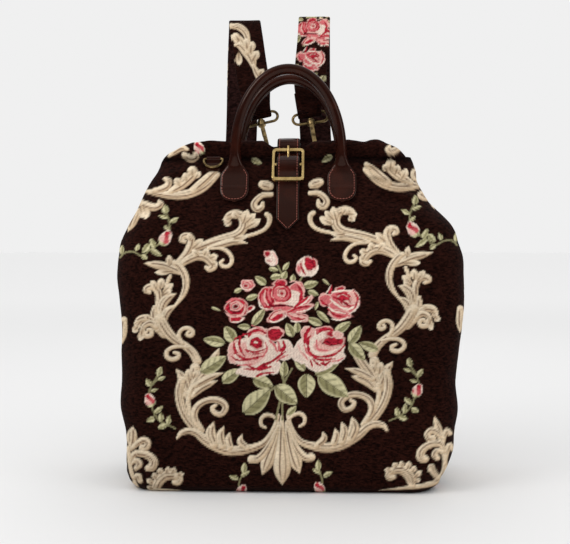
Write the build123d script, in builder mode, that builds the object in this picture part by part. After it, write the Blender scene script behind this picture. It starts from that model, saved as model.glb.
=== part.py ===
"""Carpet bag backpack: a tapestry bag on a hinged mouth frame, with two rolled leather
handles, a buckled closing strap and two shoulder straps clipped on at the back.

Millimetres. +Z up, front towards -Y, origin on the floor under the middle of the base.
"""

import os
from math import atan2, cos, radians, sin

from build123d import *

# Body
bag_width = 378.0  # widest, across the gussets
bag_depth = 156.0  # deepest, front to back
mouth_height = 361.0  # floor to the sewn top edge of the panels
fabric = 3.0  # tapestry with its interlining and lining
seam_inset = 15.0  # from the silhouette in to the gusset seams
seat_gap = 0.3  # clearance of a sewn-on piece over the cloth
overrun = 20.0  # how far cutting tools pass the work
board = 2.5  # base stiffener thickness
board_inset = 14.0  # from the inside of the base to the board's edge

# Shares of mouth height, bag width and bag depth, and the corner radius as a share of the half depth
section_shares = (
    (0.000, 0.890, 0.885, 0.40),
    (0.014, 0.934, 0.960, 0.40),
    (0.045, 0.958, 0.990, 0.40),
    (0.166, 0.974, 1.000, 0.42),
    (0.415, 0.995, 1.000, 0.45),
    (0.637, 1.000, 0.897, 0.50),
    (0.790, 0.930, 0.718, 0.60),
    (0.900, 0.820, 0.513, 0.70),
    (0.970, 0.750, 0.342, 0.80),
    (1.000, 0.718, 0.257, 0.85),
)

# Mouth frame and the sleeves that hold it
frame_end_gap = 15.7  # from the end of the mouth in to the middle of a leg
frame_bar_rise = 7.0  # from the panels' top edge up to the bars
frame_bar_inset = 8.546  # from the edge of the mouth in to each bar
frame_leg = 42.0  # from the bars down to the hinge line
frame_corner = 18.0
frame_tube = 8.0
frame_tube_wall = 1.0
hinge_plate = 3.0
hinge_plate_width = 9.0
hinge_plate_reach = 16.5  # from the hinge up to the foot of the tube
hinge_plate_lap = 6.0  # how far a plate runs up into its tube
hinge_plate_gap = 0.3
hinge_pin = 4.0
hinge_pin_head = 7.0
hinge_pin_head_depth = 1.6
running_gap = 0.05
sleeve_height = 20.0
sleeve_depth = 13.0
sleeve_corner = 5.0
sleeve_bore_gap = 0.3

# Leather
leather = 2.6
thin_leather = 1.2

# Handles
handle_roll = 11.0
handle_half_span = 58.5
handle_gap = 11.954  # from the edge of the mouth out to the roll
handle_spring_rise = 3.0  # from the panels' top edge up to where the arch starts
handle_arch = 92.0  # arch start to the middle of the roll at the crown
handle_sweep = 180.0  # degrees of the arch
handle_tab_width = 32.0
handle_tab_bottom_drop = 50.5  # below the panels' top edge
handle_tab_top_drop = 17.0
handle_tab_leather = 3.2
neck_middle_drop = 11.0
neck_middle_width = 15.0
neck_middle_depth = 9.5
neck_foot_drop = 24.0
neck_foot_width = 28.0
neck_foot_depth = 6.0
neck_clearance = 0.5

# Closing strap and buckle
strap_width = 25.0
strap_tip_drop = 82.0  # below the panels' top edge
strap_tip_rise = 13.0  # length of the pointed end
strap_rear_end_drop = 43.0
strap_lift = 0.8  # clearance under the strap
buckle_drop = 14.0  # from the panels' top edge down to the middle bar
buckle_width = 35.5
buckle_length = 42.0
buckle_bar = 4.0  # width of the end bars
buckle_side = 3.2  # width of the side bars
buckle_thickness = 3.2
buckle_corner = 5.0
buckle_edge = 0.8
buckle_lift = 7.0  # panel to the underside of the frame
buckle_pin = 3.2  # middle bar
chape_width = 23.0
chape_tail = 17.0
chape_slot = 6.0
prong_wire = 2.6
prong_slot_width = 4.4
prong_slot_start = -1.5  # from the middle bar up to the strap hole
prong_slot_end = 15.5
prong_overhang = 1.5
prong_lift = 0.6  # prong tip over the end bar

# Dee rings and their tabs
ring_wire = 2.8
ring_inside = 18.0
ring_side = 2.2  # corner radius, from the bar to the start of the bow
ring_tab_width = 15.0
ring_tab_tail = 15.0
ring_hang = 8.5  # degrees that a hanging ring stands off its tab
side_ring_x = 83.0
side_ring_seat_drop = 4.0  # below the panels' top edge

# Snap hooks: reach runs from the swivel's middle to the ring wire that they hold
hook_reach = 37.0
hook_thick = 4.6
hook_bight = 5.0  # inside radius
hook_wire = 3.5  # width of the claw
hook_shank = 8.0
hook_shoulder = 12.0  # length of the shank under the swivel
hook_play = 1.7  # slack between the ring wire and the bottom of the bight
hook_nose = 3.0  # height of the nose over the middle of the bight
swivel_post = 4.0
swivel_barrel = 9.0
swivel_barrel_height = 6.0
swivel_head = 6.6
swivel_head_depth = 1.8
swivel_gap = 0.15
eye_wire = 3.2
eye_inside = 38.0
eye_height = 13.0  # between the middles of the two long wires
gate_pin = 2.0
gate_pin_gap = 0.01
gate_thick = 2.6
gate_slot_gap = 0.15
gate_bar = 3.0
gate_gap = 0.3
gate_lug = 2.5
strap_ring_seat_drop = 2.5  # below the panels' top edge
left_strap_ring_x = -25.0
right_strap_ring_x = 30.0
strap_ring_lean = 21.0  # degrees back from upright
left_hook_swivel_x = -34.5
right_hook_swivel_x = 24.0
hook_swivel_gap = 21.954  # from the back edge of the mouth to the swivel
hook_swivel_rise = 48.0  # over the panels' top edge

# Shoulder straps
shoulder_width = 38.0
shoulder_thick = 4.0
shoulder_end_width = 28.0
shoulder_loop_wall = 3.0
shoulder_base_x = 110.0
shoulder_gap = 20.0  # from the bag's deepest part to the furthest back of a strap
left_shoulder_rise = 174.0  # from the panels' top edge up to the fold
right_shoulder_rise = 178.0
strap_ring_x = {"left": left_strap_ring_x, "right": right_strap_ring_x}
hook_swivel_x = {"left": left_hook_swivel_x, "right": right_hook_swivel_x}
shoulder_top = {"left": mouth_height + left_shoulder_rise, "right": mouth_height + right_shoulder_rise}
# Stations from the fold down to the base: shares of base x, reach and top height
shoulder_shares = {
    "left": (
        (-0.420, 0.570, 0.878),
        (-0.470, 0.690, 0.944),
        (-0.500, 0.775, 0.982),
        (-0.510, 0.825, 0.995),
        (-0.518, 0.888, 1.000),
        (-0.524, 0.950, 0.994),
        (-0.530, 0.985, 0.980),
        (-0.545, 0.980, 0.897),
        (-0.560, 0.959, 0.748),
        (-0.600, 0.929, 0.598),
        (-0.690, 0.888, 0.430),
        (-0.800, 0.857, 0.280),
        (-0.909, 0.845, 0.150),
        (-0.982, 0.827, 0.056),
        (-1.000, 0.822, 0.037),
    ),
    "right": (
        (0.215, 0.570, 0.872),
        (0.242, 0.690, 0.941),
        (0.252, 0.780, 0.982),
        (0.254, 0.830, 0.995),
        (0.254, 0.893, 1.000),
        (0.254, 0.955, 0.994),
        (0.254, 0.988, 0.980),
        (0.256, 0.985, 0.891),
        (0.265, 0.965, 0.742),
        (0.330, 0.929, 0.594),
        (0.475, 0.888, 0.427),
        (0.655, 0.857, 0.278),
        (0.836, 0.845, 0.150),
        (0.955, 0.827, 0.056),
        (1.000, 0.822, 0.037),
    ),
}

# Places that follow from the bag's depth
mouth_half_depth = section_shares[-1][2] * bag_depth / 2
frame_bar_spread = mouth_half_depth - frame_bar_inset
handle_standoff = mouth_half_depth + handle_gap
hook_swivel_standoff = mouth_half_depth + hook_swivel_gap
shoulder_reach = bag_depth / 2 + shoulder_gap

# Heights over the floor, from the panels' top edge
frame_bar_height = mouth_height + frame_bar_rise
frame_hinge_height = frame_bar_height - frame_leg
handle_spring_height = mouth_height + handle_spring_rise
handle_tab_bottom = mouth_height - handle_tab_bottom_drop
handle_tab_top = mouth_height - handle_tab_top_drop
neck_middle_height = mouth_height - neck_middle_drop
neck_foot_height = mouth_height - neck_foot_drop
strap_tip_height = mouth_height - strap_tip_drop
strap_rear_end_height = mouth_height - strap_rear_end_drop
buckle_height = mouth_height - buckle_drop
side_ring_seat_height = mouth_height - side_ring_seat_drop
strap_ring_seat_height = mouth_height - strap_ring_seat_drop
hook_swivel_height = mouth_height + hook_swivel_rise
frame_half_width = section_shares[-1][1] * bag_width / 2 - frame_end_gap


def lofted_body(grow, floor=0.0):
    """The bag's outside form, grown outwards by grow, as one smooth loft over its sections."""
    with BuildPart() as body:
        for height, width, depth, corner in section_shares:
            half_depth = depth * bag_depth / 2
            with BuildSketch(Plane.XY.offset(max(height * mouth_height, floor))):
                RectangleRounded(
                    width * bag_width + 2 * grow,
                    depth * bag_depth + 2 * grow,
                    corner * half_depth + grow,
                )
        loft()
    return body.part


outside = lofted_body(0)
inside = lofted_body(-fabric, fabric)


def seat(x, height, rear=False):
    """Plane on the cloth at that place: local x across, local y up the slope, local z outwards."""
    away = 1 if rear else -1
    line = Axis((x, away * bag_depth, height), (0, -away, 0))
    point, normal = min(
        outside.faces().sort_by(Axis.Y)[-1 if rear else 0].find_intersection_points(line),
        key=lambda hit: (hit[0] - line.position).length,
    )
    normal = normal if normal.Y * away > 0 else -normal
    return Plane(point, x_dir=(-away, 0, 0), z_dir=normal)


def side_view(plane):
    """The plane across a seat: local x up the slope, local y outwards."""
    return Plane(plane.origin, x_dir=plane.y_dir, z_dir=plane.x_dir)


# Body panels, cut from one lofted shell along the gusset and base seams
def front_outline():
    """Right-hand edge of the front and back panels, seam_inset inside the silhouette."""
    points = [(width * bag_width / 2 - seam_inset, height * mouth_height)
              for height, width, depth, corner in section_shares]
    return points[2:]


with BuildPart() as seam_prism:
    with BuildSketch(Plane.XZ):
        with BuildLine():
            edge = front_outline()
            Spline(*edge)
            Line(edge[-1], (edge[-1][0], mouth_height + overrun))
            Line((edge[-1][0], mouth_height + overrun), (0, mouth_height + overrun))
            Line((0, mouth_height + overrun), (0, edge[0][1]))
            Line((0, edge[0][1]), edge[0])
        make_face()
        mirror(about=Plane.YZ)
    extrude(amount=bag_depth, both=True)

with BuildPart() as shell:
    add(outside)
    add(inside, mode=Mode.SUBTRACT)

base_cut = front_outline()[0][1]

with BuildPart() as base_panel:
    add(shell.part)
    split(bisect_by=Plane.XY.offset(base_cut), keep=Keep.BOTTOM)
base_panel.part.label = "base_panel"

with BuildPart() as front_panel:
    add(shell.part)
    add(seam_prism.part, mode=Mode.INTERSECT)
    split(bisect_by=Plane.XZ, keep=Keep.TOP)
front_panel.part.label = "front_panel"

with BuildPart() as back_panel:
    add(shell.part)
    add(seam_prism.part, mode=Mode.INTERSECT)
    split(bisect_by=Plane.XZ, keep=Keep.BOTTOM)
back_panel.part.label = "back_panel"

with BuildPart() as gussets:
    add(shell.part)
    add(seam_prism.part, mode=Mode.SUBTRACT)
    split(bisect_by=Plane.XY.offset(base_cut), keep=Keep.TOP)

with BuildPart() as right_gusset:
    add(gussets.part)
    split(bisect_by=Plane.YZ, keep=Keep.TOP)
right_gusset.part.label = "right_gusset"

with BuildPart() as left_gusset:
    add(gussets.part)
    split(bisect_by=Plane.YZ, keep=Keep.BOTTOM)
left_gusset.part.label = "left_gusset"

with BuildPart() as base_board:
    height_share, width_share, depth_share, corner_share = section_shares[0]
    with BuildSketch(Plane.XY.offset(fabric)):
        RectangleRounded(
            width_share * bag_width - 2 * board_inset,
            depth_share * bag_depth - 2 * board_inset,
            corner_share * depth_share * bag_depth / 2 - board_inset / 2,
        )
    extrude(amount=board)
base_board.part.label = "base_board"

# Mouth frame: two tube hoops that lean apart from one hinge line
frame_lean = atan2(frame_bar_spread, frame_bar_height - frame_hinge_height)
frame_reach = (frame_bar_height - frame_hinge_height) / cos(frame_lean)
frame_plane = Plane(
    (0, 0, frame_hinge_height),
    x_dir=(1, 0, 0),
    z_dir=(0, -cos(frame_lean), -sin(frame_lean)),
)


def hoop_path(foot):
    """Hoop centre line in the frame's plane, from foot above the hinge, over the bar and down again."""
    with BuildLine(frame_plane) as path:
        FilletPolyline(
            (-frame_half_width, foot),
            (-frame_half_width, frame_reach),
            (frame_half_width, frame_reach),
            (frame_half_width, foot),
            radius=frame_corner,
        )
    return path


with BuildPart() as front_frame:
    hoop = hoop_path(hinge_plate_reach)
    with BuildSketch(Plane(hoop.line @ 0, z_dir=hoop.line % 0)):
        Circle(frame_tube / 2)
        Circle(frame_tube / 2 - frame_tube_wall, mode=Mode.SUBTRACT)
    sweep(path=hoop.line)
    # A flattened eye closes each foot; they stand side by side with the other hoop's
    for eye_middle in (frame_half_width - hinge_plate / 2 - hinge_plate_gap / 2,
                       -frame_half_width - hinge_plate / 2 - hinge_plate_gap / 2):
        eye_plane = Plane(
            frame_plane.from_local_coords((eye_middle - hinge_plate / 2, 0, 0)),
            x_dir=frame_plane.y_dir,
            z_dir=(1, 0, 0),
        )
        with BuildSketch(eye_plane):
            Circle(hinge_plate_width / 2)
            with Locations(((hinge_plate_reach + hinge_plate_lap) / 2, 0)):
                Rectangle(hinge_plate_reach + hinge_plate_lap, frame_tube - 2 * frame_tube_wall)
            Circle(hinge_pin / 2 + running_gap, mode=Mode.SUBTRACT)
        extrude(amount=hinge_plate)
front_frame.part.label = "front_frame"

with BuildPart() as rear_frame:
    add(front_frame.part.rotate(Axis.Z, 180))
rear_frame.part.label = "rear_frame"

with BuildPart() as frame_hinge_pins:
    grip = hinge_plate + hinge_plate_gap / 2 + hinge_plate_gap
    for side in (-1, 1):
        pin_plane = Plane((side * frame_half_width, 0, frame_hinge_height), z_dir=(1, 0, 0))
        with BuildSketch(pin_plane.offset(-grip)):
            Circle(hinge_pin / 2)
        extrude(amount=2 * grip)
        for end in (-1, 1):
            with BuildSketch(pin_plane.offset(end * grip)):
                Circle(hinge_pin_head / 2)
            extrude(amount=end * hinge_pin_head_depth)
frame_hinge_pins.part.label = "frame_hinge_pins"

with BuildPart() as front_frame_sleeve:
    hem = hoop_path(frame_reach - frame_corner - running_gap)
    with BuildSketch(Plane(hem.line @ 0, x_dir=(1, 0, 0), z_dir=hem.line % 0)):
        RectangleRounded(sleeve_height, sleeve_depth, sleeve_corner)
        Circle(frame_tube / 2 + sleeve_bore_gap, mode=Mode.SUBTRACT)
    sweep(path=hem.line)
front_frame_sleeve.part.label = "front_frame_sleeve"

with BuildPart() as rear_frame_sleeve:
    add(front_frame_sleeve.part.rotate(Axis.Z, 180))
rear_frame_sleeve.part.label = "rear_frame_sleeve"

# Rolled handles: a swept roll on an arch, necked down into tabs that lie on the cloth
tab_back = lofted_body(seat_gap)
tab_front = lofted_body(seat_gap + handle_tab_leather)

with BuildPart() as front_handle:
    with BuildSketch(Plane.XZ):
        with Locations(*[(side * handle_half_span, handle_tab_top) for side in (-1, 1)]):
            Rectangle(handle_tab_width, handle_tab_top - handle_tab_bottom - handle_tab_width / 2,
                      align=(Align.CENTER, Align.MAX))
        with Locations(*[(side * handle_half_span, handle_tab_bottom + handle_tab_width / 2)
                         for side in (-1, 1)]):
            Circle(handle_tab_width / 2)
    extrude(amount=bag_depth)
    add(tab_front, mode=Mode.INTERSECT)
    add(tab_back, mode=Mode.SUBTRACT)
    with BuildLine(Plane.XZ.offset(handle_standoff)) as arch:
        EllipticalCenterArc((0, handle_spring_height), handle_half_span, handle_arch,
                            start_angle=0, arc_size=handle_sweep)
    with BuildSketch(Plane(arch.line @ 0, z_dir=arch.line % 0)):
        Circle(handle_roll / 2)
    sweep(path=arch.line)
    for side in (-1, 1):
        for height, width, depth in (
            (handle_spring_height, handle_roll, handle_roll),
            (neck_middle_height, neck_middle_width, neck_middle_depth),
            (neck_foot_height, neck_foot_width, neck_foot_depth),
        ):
            cloth = -seat(side * handle_half_span, min(height, neck_middle_height)).origin.Y
            away = max(handle_standoff, cloth + neck_clearance + depth / 2)
            middle = (side * handle_half_span, -away)
            with BuildSketch(Plane.XY.offset(height)):
                with Locations(middle):
                    Ellipse(width / 2, depth / 2)
        loft()
    add(tab_back, mode=Mode.SUBTRACT)
front_handle.part.label = "front_handle"

with BuildPart() as rear_handle:
    add(front_handle.part.rotate(Axis.Z, 180))
rear_handle.part.label = "rear_handle"


# Closing strap, buckle, chape and prong
def ribbon_outline(middles, thickness):
    """Edges of a strap seen from the side: two splines half a thickness either side of its middle line."""
    middles = [Vector(*p) for p in middles]
    ahead = middles[1:] + [middles[-1] * 2 - middles[-2]]
    behind = [middles[0] * 2 - middles[1]] + middles[:-1]
    across = [(b - a).normalized().rotate(Axis.Z, 90) * (thickness / 2)
              for a, b in zip(behind, ahead)]
    upper = [p + n for p, n in zip(middles, across)]
    lower = [p - n for p, n in zip(middles, across)]
    return upper, lower


buckle_seat = seat(0, buckle_height)
buckle_side_view = side_view(buckle_seat)
bar_middle = buckle_lift + buckle_thickness / 2
chape_eye = buckle_pin / 2 + running_gap + thin_leather
strap_under = buckle_lift - leather / 2 - 2 * strap_lift
strap_over = bar_middle + chape_eye + seat_gap + leather / 2
end_bar = buckle_length / 2 - buckle_bar / 2


def strap_on_cloth(height, rear=False):
    """Middle of the closing strap where it lies on the cloth, in the plane of the bag's profile."""
    place = seat(0, height, rear)
    point = place.origin + place.z_dir * (strap_lift + leather / 2)
    return (point.Y, point.Z)


def strap_at_buckle(up, out):
    """Middle of the closing strap at the buckle, from its place up the slope and off the cloth."""
    point = buckle_seat.from_local_coords((0, up, out))
    return (point.Y, point.Z)


crown_height = frame_bar_height + sleeve_height / 2 + leather / 2 + strap_lift
sleeve_edge = frame_bar_spread + sleeve_depth / 2
strap_drop = sleeve_height / 2 - sleeve_corner
strap_middles = [
    strap_on_cloth(strap_tip_height),
    strap_on_cloth((2 * strap_tip_height + buckle_height - buckle_length / 2) / 3),
    strap_on_cloth((strap_tip_height + 2 * (buckle_height - buckle_length / 2)) / 3),
    strap_at_buckle(-end_bar, strap_under),
    strap_at_buckle(0, strap_over),
    strap_at_buckle(end_bar, strap_under),
    (-sleeve_edge - leather - strap_lift, frame_bar_height + strap_drop),
    (-sleeve_edge + leather / 2, crown_height - leather / 2),
    (-frame_bar_spread + sleeve_corner, crown_height + leather / 2),
    (frame_bar_spread - sleeve_corner, crown_height + leather / 2),
    (sleeve_edge - leather / 2, crown_height - leather / 2),
    (sleeve_edge + leather + strap_lift, frame_bar_height + strap_drop),
    strap_on_cloth(mouth_height - leather, True),
    strap_on_cloth(buckle_height, True),
    strap_on_cloth((buckle_height + strap_rear_end_height) / 2, True),
    strap_on_cloth(strap_rear_end_height, True),
]

with BuildPart() as closing_strap:
    with BuildSketch(Plane.YZ):
        with BuildLine():
            top_edge, under_edge = ribbon_outline(strap_middles, leather)
            Spline(*top_edge)
            Spline(*under_edge)
            Line(top_edge[0], under_edge[0])
            Line(top_edge[-1], under_edge[-1])
        make_face()
    extrude(amount=strap_width / 2, both=True)
    # Pointed end
    with BuildSketch(Plane.XZ):
        for side in (-1, 1):
            with BuildLine():
                Polyline(
                    (0, strap_tip_height - overrun),
                    (0, strap_tip_height),
                    (side * strap_width / 2, strap_tip_height + strap_tip_rise),
                    (side * (strap_width / 2 + overrun), strap_tip_height + strap_tip_rise),
                    (side * (strap_width / 2 + overrun), strap_tip_height - overrun),
                    close=True,
                )
            make_face()
    extrude(amount=bag_depth, mode=Mode.SUBTRACT)
    # Hole for the prong
    with BuildSketch(buckle_seat):
        with Locations((0, (prong_slot_start + prong_slot_end) / 2)):
            SlotOverall(prong_slot_end - prong_slot_start, prong_slot_width, rotation=90)
    extrude(amount=strap_over + overrun, mode=Mode.SUBTRACT)
closing_strap.part.label = "closing_strap"

with BuildPart() as buckle_frame:
    with BuildSketch(buckle_seat.offset(buckle_lift)):
        RectangleRounded(buckle_width, buckle_length, buckle_corner)
        RectangleRounded(buckle_width - 2 * buckle_side, buckle_length - 2 * buckle_bar,
                         buckle_corner - buckle_side, mode=Mode.SUBTRACT)
    extrude(amount=buckle_thickness)
    outer_rim = buckle_frame.faces().sort_by(Axis(buckle_seat.origin, buckle_seat.z_dir))[-1]
    fillet(outer_rim.edges(), buckle_edge)
    bar_plane = Plane(buckle_seat.from_local_coords((0, 0, bar_middle)), z_dir=(1, 0, 0))
    with BuildSketch(bar_plane):
        Circle(buckle_pin / 2)
    extrude(amount=buckle_width / 2 - buckle_side / 2, both=True)
buckle_frame.part.label = "buckle_frame"

with BuildPart() as buckle_chape:
    with BuildSketch(buckle_side_view):
        with Locations((0, bar_middle)):
            Circle(chape_eye)
        with BuildLine():
            Polyline(
                (0, bar_middle + chape_eye - thin_leather),
                (-chape_eye, bar_middle),
                (-2 * chape_eye, seat_gap + 2 * thin_leather),
                (-chape_tail, seat_gap + 2 * thin_leather),
                (-chape_tail, seat_gap),
                (-chape_eye, seat_gap),
                (chape_eye, bar_middle),
                close=True,
            )
        make_face()
        with Locations((0, bar_middle)):
            Circle(buckle_pin / 2 + running_gap, mode=Mode.SUBTRACT)
    extrude(amount=chape_width / 2, both=True)
    # Slot that the prong stands in
    with BuildSketch(buckle_seat):
        Rectangle(chape_slot, 4 * chape_eye)
    extrude(amount=bar_middle + 2 * chape_eye, mode=Mode.SUBTRACT)
    add(tab_back, mode=Mode.SUBTRACT)
buckle_chape.part.label = "buckle_chape"

with BuildPart() as buckle_prong:
    prong_rest = buckle_lift + buckle_thickness + prong_wire / 2 + prong_lift
    with BuildSketch(buckle_side_view):
        with Locations((0, bar_middle)):
            Circle(chape_eye)
            Circle(buckle_pin / 2 + running_gap, mode=Mode.SUBTRACT)
    extrude(amount=prong_wire / 2, both=True)
    prong_start = buckle_seat.from_local_coords((0, prong_wire * 3 / 4, bar_middle + prong_wire * 3 / 4))
    prong_end = buckle_seat.from_local_coords((0, buckle_length / 2 + prong_overhang, prong_rest))
    prong_line = prong_end - prong_start
    with BuildSketch(Plane(prong_start, x_dir=(1, 0, 0), z_dir=prong_line)):
        Circle(prong_wire / 2)
    extrude(amount=prong_line.length)
    fillet(buckle_prong.faces().sort_by(Axis.Z)[-1].edges(), prong_wire / 4)
buckle_prong.part.label = "buckle_prong"


# Dee rings on leather tabs
def make_ring(plane):
    """A dee ring: its bar on the plane's x axis, rounded corners, and its bow towards the plane's +y."""
    half = ring_inside / 2 + ring_wire / 2
    straight = half - ring_side
    with BuildPart() as ring:
        with BuildSketch(Plane(plane.from_local_coords((-straight, 0, 0)), z_dir=plane.x_dir)):
            Circle(ring_wire / 2)
        extrude(amount=2 * straight)
        for side in (-1, 1):
            corner = plane.from_local_coords((side * straight, ring_side, 0))
            with BuildSketch(Plane(plane.from_local_coords((side * half, ring_side, 0)), x_dir=plane.x_dir,
                                   z_dir=plane.y_dir)):
                Circle(ring_wire / 2)
            revolve(axis=Axis(corner, plane.z_dir * -side), revolution_arc=90)
        bow = plane.from_local_coords((0, ring_side, 0))
        with BuildSketch(Plane(plane.from_local_coords((half, ring_side, 0)), x_dir=plane.x_dir,
                               z_dir=plane.y_dir)):
            Circle(ring_wire / 2)
        revolve(axis=Axis(bow, plane.z_dir), revolution_arc=180)
    return ring.part


def ring_bar(place):
    """Middle of a ring's bar in its tab, on the seat plane."""
    return place.from_local_coords((0, 0, seat_gap + tab_eye))


tab_eye = ring_wire / 2 + running_gap + thin_leather


def make_ring_tab(place):
    """A leather strip folded round a ring's bar, both its layers sewn to the cloth below."""
    with BuildPart() as tab:
        with BuildSketch(side_view(place)):
            with Locations((0, seat_gap + tab_eye)):
                Circle(tab_eye)
            with Locations((0, seat_gap)):
                Rectangle(ring_tab_tail, 2 * thin_leather, align=(Align.MAX, Align.MIN))
            with BuildLine():
                Polyline(
                    (0, seat_gap),
                    (0, seat_gap + 2 * tab_eye),
                    (-2 * tab_eye, seat_gap + 2 * thin_leather),
                    (-2 * tab_eye, seat_gap),
                    close=True,
                )
            make_face()
            with Locations((0, seat_gap + tab_eye)):
                Circle(ring_wire / 2 + running_gap, mode=Mode.SUBTRACT)
        extrude(amount=ring_tab_width / 2, both=True)
        add(tab_back, mode=Mode.SUBTRACT)
    return tab.part


def turned_ring_plane(bar, across, towards):
    """Plane for make_ring with its bar at that point and its bow pointing that way."""
    across, towards = Vector(across), Vector(towards)
    return Plane(bar, x_dir=across, z_dir=across.cross(towards))


side_seat = seat(-side_ring_x, side_ring_seat_height)
side_bar = ring_bar(side_seat)
hang = radians(ring_hang)
side_hang = side_seat.y_dir * -cos(hang) + side_seat.z_dir * sin(hang)

with BuildPart() as front_ring_tab:
    add(make_ring_tab(side_seat))
front_ring_tab.part.label = "front_ring_tab"

with BuildPart() as front_ring:
    add(make_ring(turned_ring_plane(side_bar, side_seat.x_dir, side_hang)))
front_ring.part.label = "front_ring"

with BuildPart() as rear_ring_tab:
    add(front_ring_tab.part.rotate(Axis.Z, 180))
rear_ring_tab.part.label = "rear_ring_tab"

with BuildPart() as rear_ring:
    add(front_ring.part.rotate(Axis.Z, 180))
rear_ring.part.label = "rear_ring"

strap_ring_up = Vector(0, sin(radians(strap_ring_lean)), cos(radians(strap_ring_lean)))


def strap_ring_seat(side):
    """Where a shoulder strap's ring is sewn on the back of the bag."""
    return seat(strap_ring_x[side], strap_ring_seat_height, rear=True)


def strap_ring_bar(side):
    """Middle of the bar of a shoulder strap's ring."""
    return ring_bar(strap_ring_seat(side))


# Snap hooks, in a frame with its origin in the swivel, z up the shank and x along the eye
def hook_frame(side):
    """Plane of a snap hook, from the ring wire that it holds to its swivel."""
    swivel = Vector(hook_swivel_x[side], hook_swivel_standoff, hook_swivel_height)
    wire = strap_ring_bar(side) + strap_ring_up * (ring_side + ring_inside / 2 + ring_wire / 2)
    up = (swivel - wire).normalized()
    across = (Vector(1, 0, 0) - up * up.X).normalized()
    return Plane(wire + up * hook_reach, x_dir=across, z_dir=up)


bight_middle = -hook_reach - ring_wire / 2 - hook_play + hook_bight
gate_pivot = (hook_shank / 2 - gate_pin, -swivel_barrel_height / 2 - hook_shoulder + gate_pin)
nose_height = bight_middle + hook_nose


def make_hook(plane):
    """Swivel post, shank and claw, with a slot and a cross hole for the gate."""
    outer = hook_bight + hook_wire
    shoulder = -swivel_barrel_height / 2 - swivel_gap
    foot = shoulder - hook_shoulder
    profile = Plane(plane.origin, x_dir=plane.y_dir, z_dir=plane.x_dir)
    with BuildPart() as hook:
        with BuildSketch(profile):
            with BuildLine():
                Polyline(
                    (hook_shank / 2, foot),
                    (hook_shank / 2, shoulder),
                    (-hook_shank / 2, shoulder),
                    (-outer, bight_middle + hook_bight),
                    (-outer, bight_middle),
                )
                ThreePointArc((-outer, bight_middle), (0, bight_middle - outer), (outer, bight_middle))
                Polyline(
                    (outer, bight_middle),
                    (outer, nose_height),
                    (hook_bight, nose_height),
                    (hook_bight, bight_middle),
                )
                ThreePointArc((hook_bight, bight_middle), (0, bight_middle - hook_bight),
                              (-hook_bight, bight_middle))
                Polyline((-hook_bight, bight_middle), (-hook_bight, bight_middle + hook_bight),
                         (-hook_shank / 4, foot), (hook_shank / 2, foot))
            make_face()
        extrude(amount=hook_thick / 2, both=True)
        with BuildSketch(plane.offset(shoulder)):
            Circle(swivel_post / 2)
        extrude(amount=swivel_barrel_height + 2 * swivel_gap)
        with BuildSketch(plane.offset(swivel_barrel_height / 2 + swivel_gap)):
            Circle(swivel_head / 2)
        extrude(amount=swivel_head_depth)
        with BuildSketch(profile):
            with Locations(gate_pivot):
                Circle(gate_pin / 2 + gate_pin_gap)
        extrude(amount=hook_thick, both=True, mode=Mode.SUBTRACT)
        with BuildSketch(profile):
            with Locations((gate_pivot[0] - gate_pin - gate_gap, gate_pivot[1] + gate_pin + gate_gap)):
                Rectangle(hook_shank, hook_shoulder, align=(Align.MIN, Align.MAX))
        extrude(amount=gate_thick / 2 + gate_slot_gap, both=True, mode=Mode.SUBTRACT)
    return hook.part


def make_gate(plane):
    """Spring gate: an eye on its pin, a bar down to the nose and a thumb lug."""
    profile = Plane(plane.origin, x_dir=plane.y_dir, z_dir=plane.x_dir)
    bar_in = gate_pivot[0] - gate_bar / 2
    with BuildPart() as gate:
        with BuildSketch(profile):
            with Locations(gate_pivot):
                Circle(gate_pin)
            with BuildLine():
                Polyline(
                    (bar_in, gate_pivot[1]),
                    (gate_pivot[0] + gate_bar / 2, gate_pivot[1]),
                    (gate_pivot[0] + gate_bar / 2 + gate_lug, gate_pivot[1] - gate_lug),
                    (hook_bight + gate_bar / 2, gate_pivot[1] - 2 * gate_lug),
                    (hook_bight + gate_bar / 2, nose_height + gate_gap),
                    (hook_bight - gate_gap, nose_height + gate_gap),
                    (hook_bight - gate_gap, nose_height - gate_bar / 2),
                    (hook_bight - gate_bar / 2, nose_height - gate_bar / 2),
                    (hook_bight - gate_bar / 2, gate_pivot[1] - gate_lug),
                    close=True,
                )
            make_face()
            with Locations(gate_pivot):
                Circle(gate_pin / 2 + running_gap, mode=Mode.SUBTRACT)
        extrude(amount=gate_thick / 2, both=True)
    return gate.part


def make_gate_pin(plane):
    """Cross pin of the gate, flush with the shank's two cheeks."""
    profile = Plane(plane.origin, x_dir=plane.y_dir, z_dir=plane.x_dir)
    with BuildPart() as pin:
        with BuildSketch(profile):
            with Locations(gate_pivot):
                Circle(gate_pin / 2)
        extrude(amount=hook_thick / 2, both=True)
    return pin.part


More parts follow.
